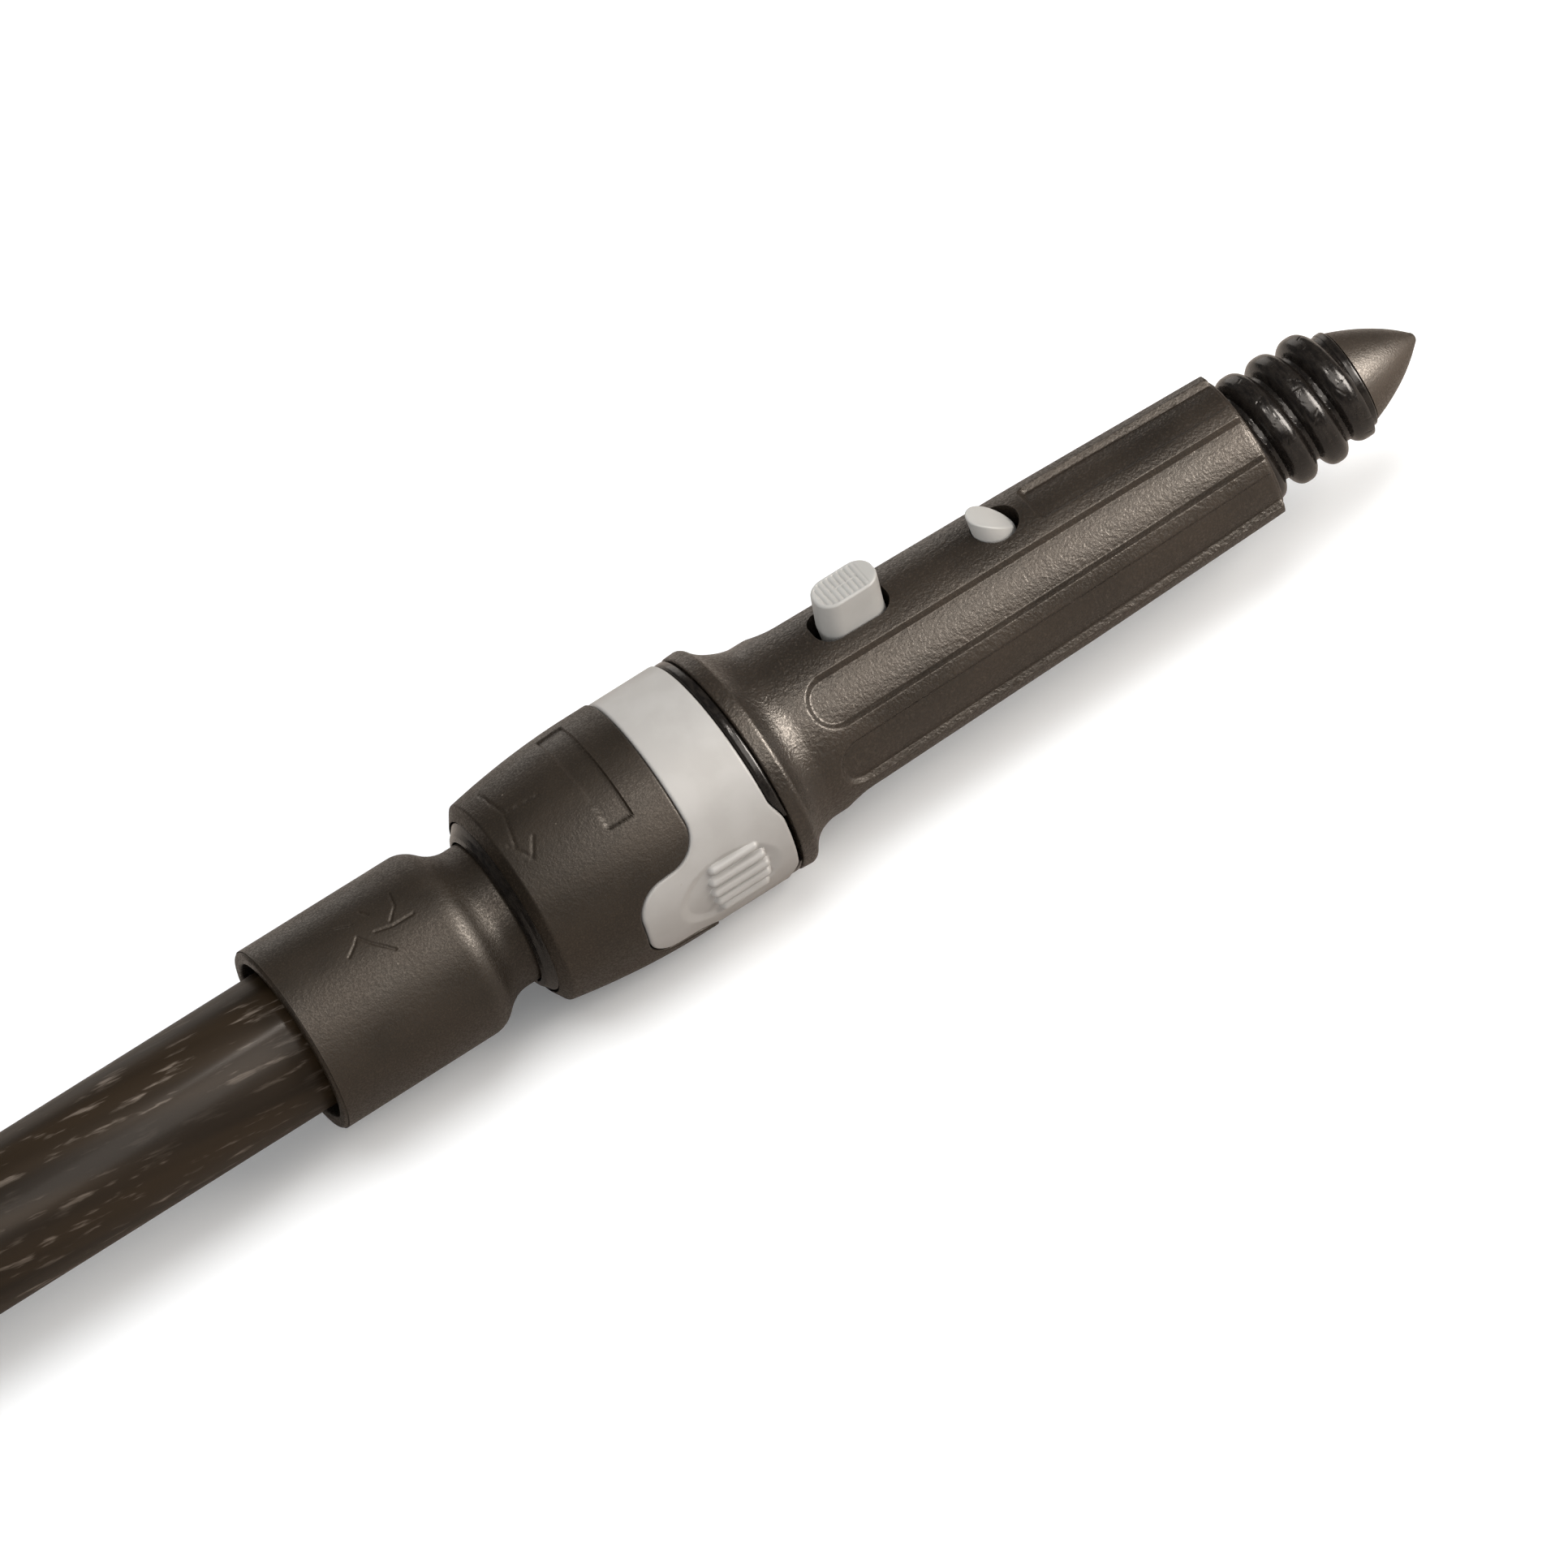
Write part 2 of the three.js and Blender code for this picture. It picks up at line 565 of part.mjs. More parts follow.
function collarMouthRing() {
  const front = SOCKET_REAR + 0.1;
  return turned([
    point(front, SOCKET_BORE_R), point(front, MOUTH_R), point(BARREL_REAR - 0.2, MOUTH_R),
    point(MOUTH_REAR - 0.4, 12.6), point(MOUTH_REAR, 12), point(MOUTH_REAR - 0.2, SOCKET_BORE_R),
    point(front, SOCKET_BORE_R),
  ]);
}

// ---- Materials and the assembly ----

function finish(color, roughness, metalness = 0) {
  return new THREE.MeshStandardMaterial({ color, roughness, metalness });
}

const carbon = () => finish(0x2b2621, 0.25);
const satinBlack = () => finish(0x292521, 0.5);
const glossBlack = () => finish(0x171513, 0.25);
const greyPlastic = () => finish(0xc6c3be, 0.45);
const rubber = () => finish(0x121212, 0.8);
const steel = () => finish(0xb4b4b2, 0.3, 1);

const model = new THREE.Group();

function place(name, shape, material) {
  const mesh = new THREE.Mesh(geometryOf(shape), material);
  mesh.name = name;
  model.add(mesh);
}

place('pole_tube', poleTube(), carbon());
place('tube_end_plug', tubeEndPlug(), satinBlack());
place('coupling_sleeve', couplingSleeve(), satinBlack());
place('sleeve_liner', sleeveLiner(), glossBlack());
place('front_o_ring', oRing(O_RING_BACKS[0]), rubber());
place('rear_o_ring', oRing(O_RING_BACKS[1]), rubber());

place('nose_cone', noseCone(), satinBlack());
place('threaded_tip', threadedTip(), glossBlack());
place('tip_screw', tipScrew(), steel());
place('cone_body', coneBody(), satinBlack());
place('latch_pivot_pin', latchPivotPin(), steel());
place('latch_spring', latchSpring(), steel());
place('latch_lever', latchLever(), satinBlack());
place('thumb_button', thumbButton(), greyPlastic());
place('latch_pawl', latchPawl(), greyPlastic());

place('coupling_socket', couplingSocket(), glossBlack());
place('flange_washer', flangeWasher(), glossBlack());
place('release_ring', releaseRing(), greyPlastic());
place('ring_tooth', ringTooth(), steel());
place('ring_return_spring', ringReturnSpring(), steel());
place('collar_barrel', collarBarrel(), satinBlack());
place('collar_mouth_ring', collarMouthRing(), glossBlack());

export default model;
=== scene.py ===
import json
import math

import bpy
import numpy as np
from mathutils import Matrix, Vector


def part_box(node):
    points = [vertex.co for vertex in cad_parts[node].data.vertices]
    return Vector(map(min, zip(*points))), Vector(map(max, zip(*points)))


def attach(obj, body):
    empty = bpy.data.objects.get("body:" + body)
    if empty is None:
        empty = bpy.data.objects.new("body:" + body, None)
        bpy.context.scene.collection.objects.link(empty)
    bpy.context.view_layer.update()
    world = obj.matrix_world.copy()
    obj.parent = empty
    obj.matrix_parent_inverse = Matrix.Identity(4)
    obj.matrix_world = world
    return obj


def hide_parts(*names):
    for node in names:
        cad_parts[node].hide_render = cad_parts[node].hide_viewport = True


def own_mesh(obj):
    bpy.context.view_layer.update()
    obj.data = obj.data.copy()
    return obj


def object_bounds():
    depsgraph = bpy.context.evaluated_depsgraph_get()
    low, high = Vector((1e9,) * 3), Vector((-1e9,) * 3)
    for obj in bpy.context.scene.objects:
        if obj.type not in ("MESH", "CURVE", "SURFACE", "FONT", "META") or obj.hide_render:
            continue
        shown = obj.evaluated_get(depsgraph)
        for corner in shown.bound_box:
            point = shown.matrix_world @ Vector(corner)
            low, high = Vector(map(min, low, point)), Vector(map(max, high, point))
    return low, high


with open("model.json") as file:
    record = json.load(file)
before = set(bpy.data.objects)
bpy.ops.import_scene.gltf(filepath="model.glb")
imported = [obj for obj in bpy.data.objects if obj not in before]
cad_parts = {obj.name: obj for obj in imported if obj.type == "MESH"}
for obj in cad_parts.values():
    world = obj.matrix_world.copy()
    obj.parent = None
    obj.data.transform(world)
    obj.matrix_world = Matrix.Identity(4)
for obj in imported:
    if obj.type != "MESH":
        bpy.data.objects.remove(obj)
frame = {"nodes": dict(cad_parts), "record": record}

MM = 0.001
CAD_LOW, CAD_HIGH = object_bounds()
TIP_X = CAD_HIGH.x
TURN = 2 * math.pi
SHARP_ANGLE = math.radians(35)


def span(node):
    """A round CAD node's front, rear and outer radius, front and rear as distances behind the point."""
    low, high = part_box(node)
    return (TIP_X - high.x) / MM, (TIP_X - low.x) / MM, high.y / MM


def smoothstep(low, high, value):
    share = np.clip((value - low) / (high - low), 0, 1)
    return share * share * (3 - 2 * share)


# ---- Driving dimensions ----

_, NOSE_STUB_REAR, NOSE_R = span("nose_cone")
THREAD_FRONT, THREAD_REAR, _ = span("threaded_tip")
CONE_FRONT, CONE_REAR, FLANGE_R = span("cone_body")
WASHER_FRONT, WASHER_REAR, WASHER_R = span("flange_washer")
TONGUE_FRONT, LOBE_REAR, RING_R = span("release_ring")
_, BARREL_REAR, BARREL_R = span("collar_barrel")
MOUTH_FRONT, MOUTH_REAR, MOUTH_R = span("collar_mouth_ring")
SOCKET_FRONT, SOCKET_REAR, SOCKET_R = span("coupling_socket")
SPIGOT_FRONT, SLEEVE_REAR, SLEEVE_R = span("coupling_sleeve")
TUBE_FRONT, TUBE_REAR, TUBE_R = span("pole_tube")
PLUG_FRONT, PLUG_REAR, _ = span("tube_end_plug")
LINER_FRONT, LINER_REAR, LINER_R = span("sleeve_liner")

NOSE_LENGTH = 11.2
THREAD_ROOT_R = 7.6
THREAD_CREST_R = 9.6
THREAD_PITCH = 5.3
THREAD_CREST_BACK = 15.5  # where the ridge's crest crosses the top
CONE_FRONT_R = 12.0
CONE_NECK_BACK = 109.0
CONE_NECK_R = 14.12
CONE_BULGE = 0.2  # how far the cone's side stands outside a straight line, half way along
FLUTES = 8
FLUTE_DEPTH = 0.8
FLUTE_HALF_ANGLE = math.radians(17.6)  # to the outer edge of a flute's wall
FLUTE_WALL = 0.75  # how wide the slope at a flute's edge is
FLUTE_END = 106.3
SHORT_FLUTE_END = 62.6
BUTTON_CORNER = 2.9
RING_FRONT = WASHER_REAR + 0.15
RING_BAND_REAR = 130.5
LOBE_HALF_WIDTH = 7.2
SEAM = 0.2  # gap between the ring's lobe and the barrel
PAD_ANGLE = math.radians(98.5)
PAD_BACK = 126.75
SPIGOT_R = 11.3
SOCKET_BORE_R = 11.6
GROOVE_R = 9.9
RECESS_R = LINER_R + 0.3
STROKE_DEPTH = 0.16
STROKE_HALF_WIDTH = 0.34


# ---- Meshes ----

def place(back, radius, angle):
    back, radius, angle = np.broadcast_arrays(back, radius, angle)
    across = -radius * np.sin(angle) * MM
    return np.stack([TIP_X - back * MM, across, radius * np.cos(angle) * MM], axis=-1)


def shade_smooth(mesh):
    """Smooth, except across edges sharper than SHARP_ANGLE."""
    mesh.polygons.foreach_set("use_smooth", [True] * len(mesh.polygons))
    mesh.set_sharp_from_angle(angle=SHARP_ANGLE)


def mesh_object(name, points, faces):
    mesh = bpy.data.meshes.new(name)
    mesh.from_pydata([tuple(p) for p in points], [], faces)
    mesh.validate()
    shade_smooth(mesh)
    piece = bpy.data.objects.new(name, mesh)
    bpy.context.scene.collection.objects.link(piece)
    return piece


def ring_solid(name, rings, closed=True):
    """A solid through rings of points (rows, columns, xyz), each joined to the next. If it is closed, the
    last ring joins the first; otherwise both end rings are capped to a point in their middle."""
    rows, columns, _ = rings.shape
    points = list(rings.reshape(-1, 3))
    index = np.arange(rows * columns).reshape(rows, columns)
    faces = []
    for row in range(rows if closed else rows - 1):
        near, far = index[row], index[(row + 1) % rows]
        for column in range(columns):
            after = (column + 1) % columns
            faces.append((near[column], near[after], far[after], far[column]))
    if not closed:
        for end, flip in ((0, True), (rows - 1, False)):
            middle = len(points)
            points.append(rings[end].mean(axis=0))
            for column in range(columns):
                pair = [index[end][column], index[end][(column + 1) % columns]]
                faces.append((*(pair[::-1] if flip else pair), middle))
    piece = mesh_object(name, points, faces)
    face_outwards(piece.data)
    return piece


def face_outwards(mesh):
    """Turns a closed mesh's faces outwards, by the sign of its volume."""
    corners = np.array([v.co for v in mesh.vertices])
    mesh.calc_loop_triangles()
    triangles = corners[np.array([t.vertices[:] for t in mesh.loop_triangles])]
    volume = np.einsum("ij,ij->i", triangles[:, 0], np.cross(triangles[:, 1], triangles[:, 2])).sum()
    if volume < 0:
        mesh.flip_normals()


def rounded(corners, steps=4):
    """A closed outline through (back, radius, corner radius) corners, each corner turned into an arc."""
    outline = []
    for i, (back, radius, corner) in enumerate(corners):
        here = Vector((back, radius))
        if not corner:
            outline.append((back, radius))
            continue
        to_last = (Vector(corners[i - 1][:2]) - here).normalized()
        to_next = (Vector(corners[(i + 1) % len(corners)][:2]) - here).normalized()
        half = to_last.angle(to_next) / 2
        centre = here + (to_last + to_next).normalized() * (corner / math.sin(half))
        first = here + to_last * (corner / math.tan(half)) - centre
        last = here + to_next * (corner / math.tan(half)) - centre
        swing = first.angle_signed(last)
        for k in range(steps + 1):
            outline.append(tuple(centre + Matrix.Rotation(-swing * k / steps, 2) @ first))
    return outline


def curve(start, control, end, steps=8):
    """Points of a quadratic curve after its start, up to its end."""
    share = np.arange(1, steps + 1)[:, None] / steps
    start, control, end = (np.array(p, float) for p in (start, control, end))
    points = (1 - share) ** 2 * start + 2 * share * (1 - share) * control + share**2 * end
    return [tuple(p) for p in points]


def line(start, end, step):
    """Points of a straight line after its start, up to its end, no more than step apart."""
    start, end = np.array(start, float), np.array(end, float)
    count = max(1, math.ceil(np.linalg.norm(end - start) / step))
    return [tuple(start + (end - start) * k / count) for k in range(1, count + 1)]


def turned(name, outline, columns=160, relief=None, closed=True, shift=None):
    """A solid of revolution about the pole's axis from (back, radius) points. relief(back, radius, angle)
    gives how far a point stands out from its radius, and shift how far it stands back."""
    outline = np.array(outline, float)
    back, radius = outline[:, 0, None], outline[:, 1, None]
    angle = np.arange(columns)[None, :] * TURN / columns
    moved = shift(back, radius, angle) if shift else 0
    if relief:
        radius = radius + relief(back, radius, angle)
    return ring_solid(name, place(back + moved, radius, angle), closed)


def simple_ring(name, front, rear, inner, outer):
    corner = 0.2
    corners = [(front, inner, corner), (front, outer, corner), (rear, outer, corner), (rear, inner, corner)]
    return turned(name, rounded(corners))


def cut(piece, *cutters):
    """Cuts each cutter out of the piece and removes the cutters."""
    for cutter in cutters:
        modifier = piece.modifiers.new("cut", "BOOLEAN")
        modifier.object = cutter
        modifier.solver = "EXACT"
    depsgraph = bpy.context.evaluated_depsgraph_get()
    mesh = bpy.data.meshes.new_from_object(piece.evaluated_get(depsgraph))
    piece.modifiers.clear()
    piece.data = mesh
    shade_smooth(mesh)
    for cutter in cutters:
        bpy.data.objects.remove(cutter)


def smooth_angle(angle):
    """An angle brought between minus and plus half a turn."""
    return (angle + math.pi) % TURN - math.pi


# ---- Materials ----

class Shader:
    """A node material being put together. Colours are linear, and lengths in patterns are millimetres."""

    def __init__(self, name):
        self.material = bpy.data.materials.new(name)
        self.material.use_nodes = True
        self.tree = self.material.node_tree
        self.surface = self.tree.nodes["Principled BSDF"]
        where = self.add("ShaderNodeTexCoord")
        scale = self.add("ShaderNodeVectorMath", operation="SCALE")
        scale.inputs["Scale"].default_value = 1 / MM
        self.tree.links.new(where.outputs["Object"], scale.inputs[0])
        self.place = scale.outputs[0]

    def add(self, kind, **settings):
        node = self.tree.nodes.new(kind)
        for key, value in settings.items():
            setattr(node, key, value)
        return node

    def feed(self, socket, value):
        if isinstance(value, bpy.types.NodeSocket):
            self.tree.links.new(value, socket)
        else:
            socket.default_value = value

    def math(self, operation, *values):
        node = self.add("ShaderNodeMath", operation=operation)
        for socket, value in zip(node.inputs, values):
            self.feed(socket, value)
        return node.outputs[0]

    def spread(self, value, low, high, to_low=0.0, to_high=1.0):
        """value between low and high, stretched to run from to_low to to_high and held there."""
        node = self.add("ShaderNodeMapRange", interpolation_type="SMOOTHSTEP")
        keys = ("Value", "From Min", "From Max", "To Min", "To Max")
        for key, given in zip(keys, (value, low, high, to_low, to_high)):
            self.feed(node.inputs[key], given)
        return node.outputs["Result"]

    def noise(self, size, detail=2.0, stretch=None, place=None, roughness=0.5):
        """Noise with features about size millimetres across."""
        node = self.add("ShaderNodeTexNoise")
        vector = place or self.place
        if stretch:
            scaled = self.add("ShaderNodeVectorMath", operation="MULTIPLY")
            self.feed(scaled.inputs[0], vector)
            scaled.inputs[1].default_value = stretch
            vector = scaled.outputs[0]
        self.feed(node.inputs["Vector"], vector)
        node.inputs["Scale"].default_value = 1 / size
        node.inputs["Detail"].default_value = detail
        node.inputs["Roughness"].default_value = roughness
        return node.outputs["Fac"]

    def specks(self, size, share):
        """Small round specks: 1 in the middle of a few cells that are size millimetres across."""
        node = self.add("ShaderNodeTexVoronoi")
        self.feed(node.inputs["Vector"], self.place)
        node.inputs["Scale"].default_value = 1 / size
        chosen = self.math("LESS_THAN", self.separate(node.outputs["Color"])[0], share)
        return self.math("MULTIPLY", chosen, self.math("LESS_THAN", node.outputs["Distance"], 0.16))

    def separate(self, vector):
        node = self.add("ShaderNodeSeparateXYZ")
        self.feed(node.inputs[0], vector)
        return node.outputs

    def mix(self, share, first, second):
        node = self.add("ShaderNodeMix", data_type="RGBA")
        self.feed(node.inputs["Factor"], share)
        for socket, value in ((node.inputs["A"], first), (node.inputs["B"], second)):
            self.feed(socket, value if isinstance(value, bpy.types.NodeSocket) else (*value, 1))
        return node.outputs["Result"]

    def bump(self, height, distance, normal=None):
        """A normal from a height that runs over distance millimetres."""
        node = self.add("ShaderNodeBump")
        self.feed(node.inputs["Height"], height)
        node.inputs["Distance"].default_value = distance * MM
        node.inputs["Strength"].default_value = 1.0
        if normal:
            self.feed(node.inputs["Normal"], normal)
        return node.outputs["Normal"]

    def edges(self, radius):
        """1 along outside edges, where a bevel of radius millimetres would turn the surface most."""
        bevel = self.add("ShaderNodeBevel", samples=4)
        bevel.inputs["Radius"].default_value = radius * MM
        geometry = self.add("ShaderNodeNewGeometry")
        product = self.add("ShaderNodeVectorMath", operation="DOT_PRODUCT")
        self.feed(product.inputs[0], bevel.outputs[0])
        self.feed(product.inputs[1], geometry.outputs["Normal"])
        return self.spread(product.outputs["Value"], 0.995, 0.9)

    def set(self, **inputs):
        for key, value in inputs.items():
            if isinstance(value, tuple):
                value = (*value, 1)
            self.feed(self.surface.inputs[key.replace("_", " ")], value)
        return self.material


def black_plastic(name, base, grain, grain_depth, roughness, painted_grain_glint, wear, shine):
    """Brown-black moulded plastic with a spark-eroded grain, smudges, worn edges and a little lint. The
    grain's glints and shade are painted into its colour as pale and dark flecks.
    """
    shader = Shader(name)
    fine = shader.noise(grain, detail=2.0, roughness=0.6)
    coarse = shader.noise(grain * 2.2, detail=1.0)
    smudge = shader.noise(9.0, detail=4.0, stretch=(0.6, 1.0, 1.0))
    warm = tuple(c * k for c, k in zip(base, (1.5, 1.4, 1.3)))
    pale = tuple(c * k for c, k in zip(base, (4.2, 4.6, 5.2)))
    dark = tuple(c * 0.5 for c in base)
    colour = shader.mix(shader.spread(smudge, 0.35, 0.7), base, warm)
    colour = shader.mix(shader.math("MULTIPLY", shader.edges(0.25), wear), colour, pale)
    # Painted glints (pale flecks) and painted shade (dark flecks) of the grain, put into the colour along
    # the grain's noise.
    colour = shader.mix(shader.math("MULTIPLY", shader.spread(fine, 0.5, 0.72), painted_grain_glint), colour, pale)
    colour = shader.mix(shader.math("MULTIPLY", shader.spread(fine, 0.5, 0.3), painted_grain_glint), colour, dark)
    lint = shader.specks(1.1, 0.008)
    colour = shader.mix(shader.math("MULTIPLY", lint, 0.4), colour, (0.2, 0.17, 0.14))
    rough = shader.math("ADD", shader.spread(smudge, 0.3, 0.7, roughness - 0.04, roughness + 0.06),
                        shader.spread(fine, 0.3, 0.7, 0.12, -0.14))
    height = shader.math("ADD", shader.math("MULTIPLY", fine, 0.5), shader.math("MULTIPLY", coarse, 0.5))
    normal = shader.bump(height, grain_depth)
    return shader.set(Base_Color=colour, Roughness=rough, Normal=normal, Specular_IOR_Level=shine,
                      Specular_Tint=(1.0, 0.94, 0.87))


def gloss_black(name):
    """Smooth black plastic with faint flow lines and scratches."""
    shader = Shader(name)
    flow = shader.noise(1.4, detail=3.0, stretch=(3.0, 1.0, 1.0))
    scuff = shader.noise(0.35, detail=4.0, stretch=(0.35, 1.0, 1.0))
    colour = shader.mix(shader.spread(flow, 0.3, 0.7), (0.006, 0.005, 0.0045), (0.014, 0.0115, 0.0095))
    colour = shader.mix(shader.math("MULTIPLY", shader.edges(0.2), 0.3), colour, (0.06, 0.05, 0.042))
    rough = shader.math("ADD", shader.spread(scuff, 0.4, 0.75, 0.17, 0.27),
                        shader.spread(flow, 0.3, 0.7, 0.0, 0.05))
    normal = shader.bump(scuff, 0.003, normal=shader.bump(flow, 0.04))
    return shader.set(Base_Color=colour, Roughness=rough, Normal=normal, Specular_IOR_Level=0.26)


def grey_plastic(name, base):
    """Pale grey satin plastic with soft sink marks, faint mottling and handling marks."""
    shader = Shader(name)
    mottle = shader.noise(6.0, detail=3.0)
    fine = shader.noise(0.12, detail=2.0)
    sink = shader.noise(5.0, detail=1.0, stretch=(0.7, 1.0, 1.0))
    dull = tuple(c * k for c, k in zip(base, (0.93, 0.925, 0.92)))
    colour = shader.mix(shader.spread(mottle, 0.35, 0.65), base, dull)
    colour = shader.mix(shader.math("MULTIPLY", shader.edges(0.2), 0.25), colour, (0.8, 0.78, 0.75))
    grime = shader.specks(1.1, 0.008)
    colour = shader.mix(shader.math("MULTIPLY", grime, 0.35), colour, (0.3, 0.27, 0.24))
    rough = shader.spread(fine, 0.3, 0.7, 0.34, 0.46)
    normal = shader.bump(fine, 0.006, normal=shader.bump(sink, 0.12))
    return shader.set(Base_Color=colour, Roughness=rough, Normal=normal, Specular_IOR_Level=0.2)


def carbon_tube(name):
    """Carbon fibre tows laid lengthwise, broken into silvery wisps, under a clear coat."""
    shader = Shader(name)
    x, y, z = shader.separate(shader.place)[:3]
    around = shader.math("MULTIPLY", shader.math("ARCTAN2", y, z), TUBE_R)
    join = shader.add("ShaderNodeCombineXYZ")
    shader.feed(join.inputs[0], x)
    shader.feed(join.inputs[1], shader.math("ADD", around, shader.math("MULTIPLY", x, 0.14)))
    flat = join.outputs[0]
    wisps = shader.noise(1.0, detail=3.0, stretch=(0.13, 0.75, 1.0), place=flat, roughness=0.55)
    fibres = shader.noise(1.0, detail=2.0, stretch=(0.25, 7.0, 1.0), place=flat)
    rows = shader.noise(1.0, detail=1.0, stretch=(0.012, 0.24, 1.0), place=flat)
    silver = shader.spread(wisps, 0.55, 0.7)
    silver = shader.math("MULTIPLY", silver, shader.spread(rows, 0.42, 0.6, 0.1, 1.0))
    silver = shader.math("MULTIPLY", silver, shader.spread(fibres, 0.3, 0.7, 0.4, 1.0))
    base = shader.mix(shader.spread(rows, 0.3, 0.7), (0.01, 0.0058, 0.0025), (0.023, 0.0142, 0.007))
    colour = shader.mix(silver, base, (0.16, 0.13, 0.105))
    rough = shader.spread(silver, 0.0, 1.0, 0.5, 0.38)
    normal = shader.bump(fibres, 0.012)
    return shader.set(Base_Color=colour, Roughness=rough, Normal=normal, Coat_Weight=0.1, Coat_Roughness=0.2,
                      Specular_IOR_Level=0.12)


def steel(name):
    """Turned steel with fine tool lines."""
    shader = Shader(name)
    lines = shader.noise(0.12, detail=3.0, stretch=(6.0, 1.0, 1.0))
    colour = shader.mix(shader.spread(lines, 0.3, 0.7), (0.45, 0.44, 0.43), (0.6, 0.59, 0.57))
    rough = shader.spread(lines, 0.3, 0.7, 0.22, 0.4)
    return shader.set(Base_Color=colour, Roughness=rough, Normal=shader.bump(lines, 0.01), Metallic=1.0)


def rubber(name):
    """Matt black rubber with a faint bloom."""
    shader = Shader(name)
    bloom = shader.noise(1.5, detail=4.0)
    colour = shader.mix(shader.spread(bloom, 0.35, 0.75), (0.006, 0.006, 0.006), (0.02, 0.019, 0.018))
    return shader.set(Base_Color=colour, Roughness=0.72, Normal=shader.bump(shader.noise(0.1), 0.008))


GRAINED = black_plastic("grained_black", (0.0128, 0.0093, 0.0065), grain=0.36, grain_depth=0.15,
                        roughness=0.38, painted_grain_glint=0.6, wear=0.35, shine=0.42)
SATIN = black_plastic("satin_black", (0.0118, 0.0085, 0.0056), grain=0.3, grain_depth=0.07,
                      roughness=0.46, painted_grain_glint=0.4, wear=0.25, shine=0.33)
NOSE_BLACK = black_plastic("nose_black", (0.022, 0.0165, 0.012), grain=0.26, grain_depth=0.07,
                           roughness=0.42, painted_grain_glint=0.5, wear=0.2, shine=0.48)
GLOSS = gloss_black("gloss_black")
GREY = grey_plastic("ring_grey", (0.4, 0.39, 0.375))
PALE_GREY = grey_plastic("button_grey", (0.4, 0.395, 0.38))
CARBON = carbon_tube("carbon_tube")
STEEL = steel("steel")
RUBBER = rubber("rubber")


# ---- Pieces ----

def stand_for(piece, node, material):
    """The piece takes the CAD node's place in its body, found from the table, and the node is hidden."""
    record = frame["record"]
    body = next(b for b, nodes in record["behaviour"]["bodies"].items() if node in nodes)
    piece.data.materials.clear()
    piece.data.materials.append(material)
    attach(piece, body)
    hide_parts(node)


def make_tube():
    wall = 1.6
    corners = [
        (TUBE_FRONT, TUBE_R, 0.2), (TUBE_REAR, TUBE_R, 0.1), (TUBE_REAR, TUBE_R - wall, 0.1),
        (TUBE_FRONT, TUBE_R - wall, 0.2),
    ]
    stand_for(turned("tube_skin", rounded(corners), 192), "pole_tube", CARBON)


def make_end_plug():
    inner = TUBE_R - 1.9
    recess_r = 7.5
    stem_bore_r = 6.5
    corners = [
        (PLUG_REAR - 0.6, 0.4, 0), (PLUG_REAR - 0.6, recess_r, 0.4), (PLUG_REAR, recess_r + 0.6, 0.3),
        (PLUG_REAR, TUBE_R, 0.9), (TUBE_REAR + 0.05, TUBE_R, 0.1), (TUBE_REAR + 0.05, inner, 0.1),
        (PLUG_FRONT, inner, 0.5), (PLUG_FRONT, stem_bore_r, 0.3), (TUBE_REAR, stem_bore_r, 0.4),
        (TUBE_REAR, 0.4, 0),
    ]
    stand_for(turned("end_plug_moulding", rounded(corners), 160, closed=False), "tube_end_plug", SATIN)


def groove(front, rear):
    """Corners of a groove round the spigot."""
    lip = 0.15
    return [(front, SPIGOT_R, lip), (front, GROOVE_R, lip), (rear, GROOVE_R, lip), (rear, SPIGOT_R, lip)]


def stroke_relief(strokes, depth, half_width, radius_at):
    """Engraved strokes, each a list of (back, sideways) points, sideways from the button."""
    def relief(back, radius, angle):
        back, angle = np.broadcast_arrays(back, smooth_angle(angle))
        sideways = angle * radius_at
        cut_depth = np.zeros(back.shape)
        for stroke in strokes:
            for (b0, s0), (b1, s1) in zip(stroke, stroke[1:]):
                length2 = (b1 - b0) ** 2 + (s1 - s0) ** 2
                share = np.clip(((back - b0) * (b1 - b0) + (sideways - s0) * (s1 - s0)) / length2, 0, 1)
                away = np.hypot(back - b0 - share * (b1 - b0), sideways - s0 - share * (s1 - s0))
                cut_depth = np.maximum(cut_depth, 1 - smoothstep(0, half_width, away))
        return -depth * cut_depth
    return relief


def sleeve_marks():
    """Thin alignment strokes on the sleeve."""
    return [
        [(171.0, 0.0), (171.6, 2.6), (173.4, 4.4)],
        [(176.1, 4.5), (173.6, 5.2), (170.1, 5.3)],
        [(181.3, 5.8), (179.6, 4.6), (178.7, 3.7), (177.6, 5.6), (175.1, 8.5)],
        [(180.3, 0.3), (178.2, 1.4)],
        [(176.2, 0.0), (175.4, 1.4)],
    ]


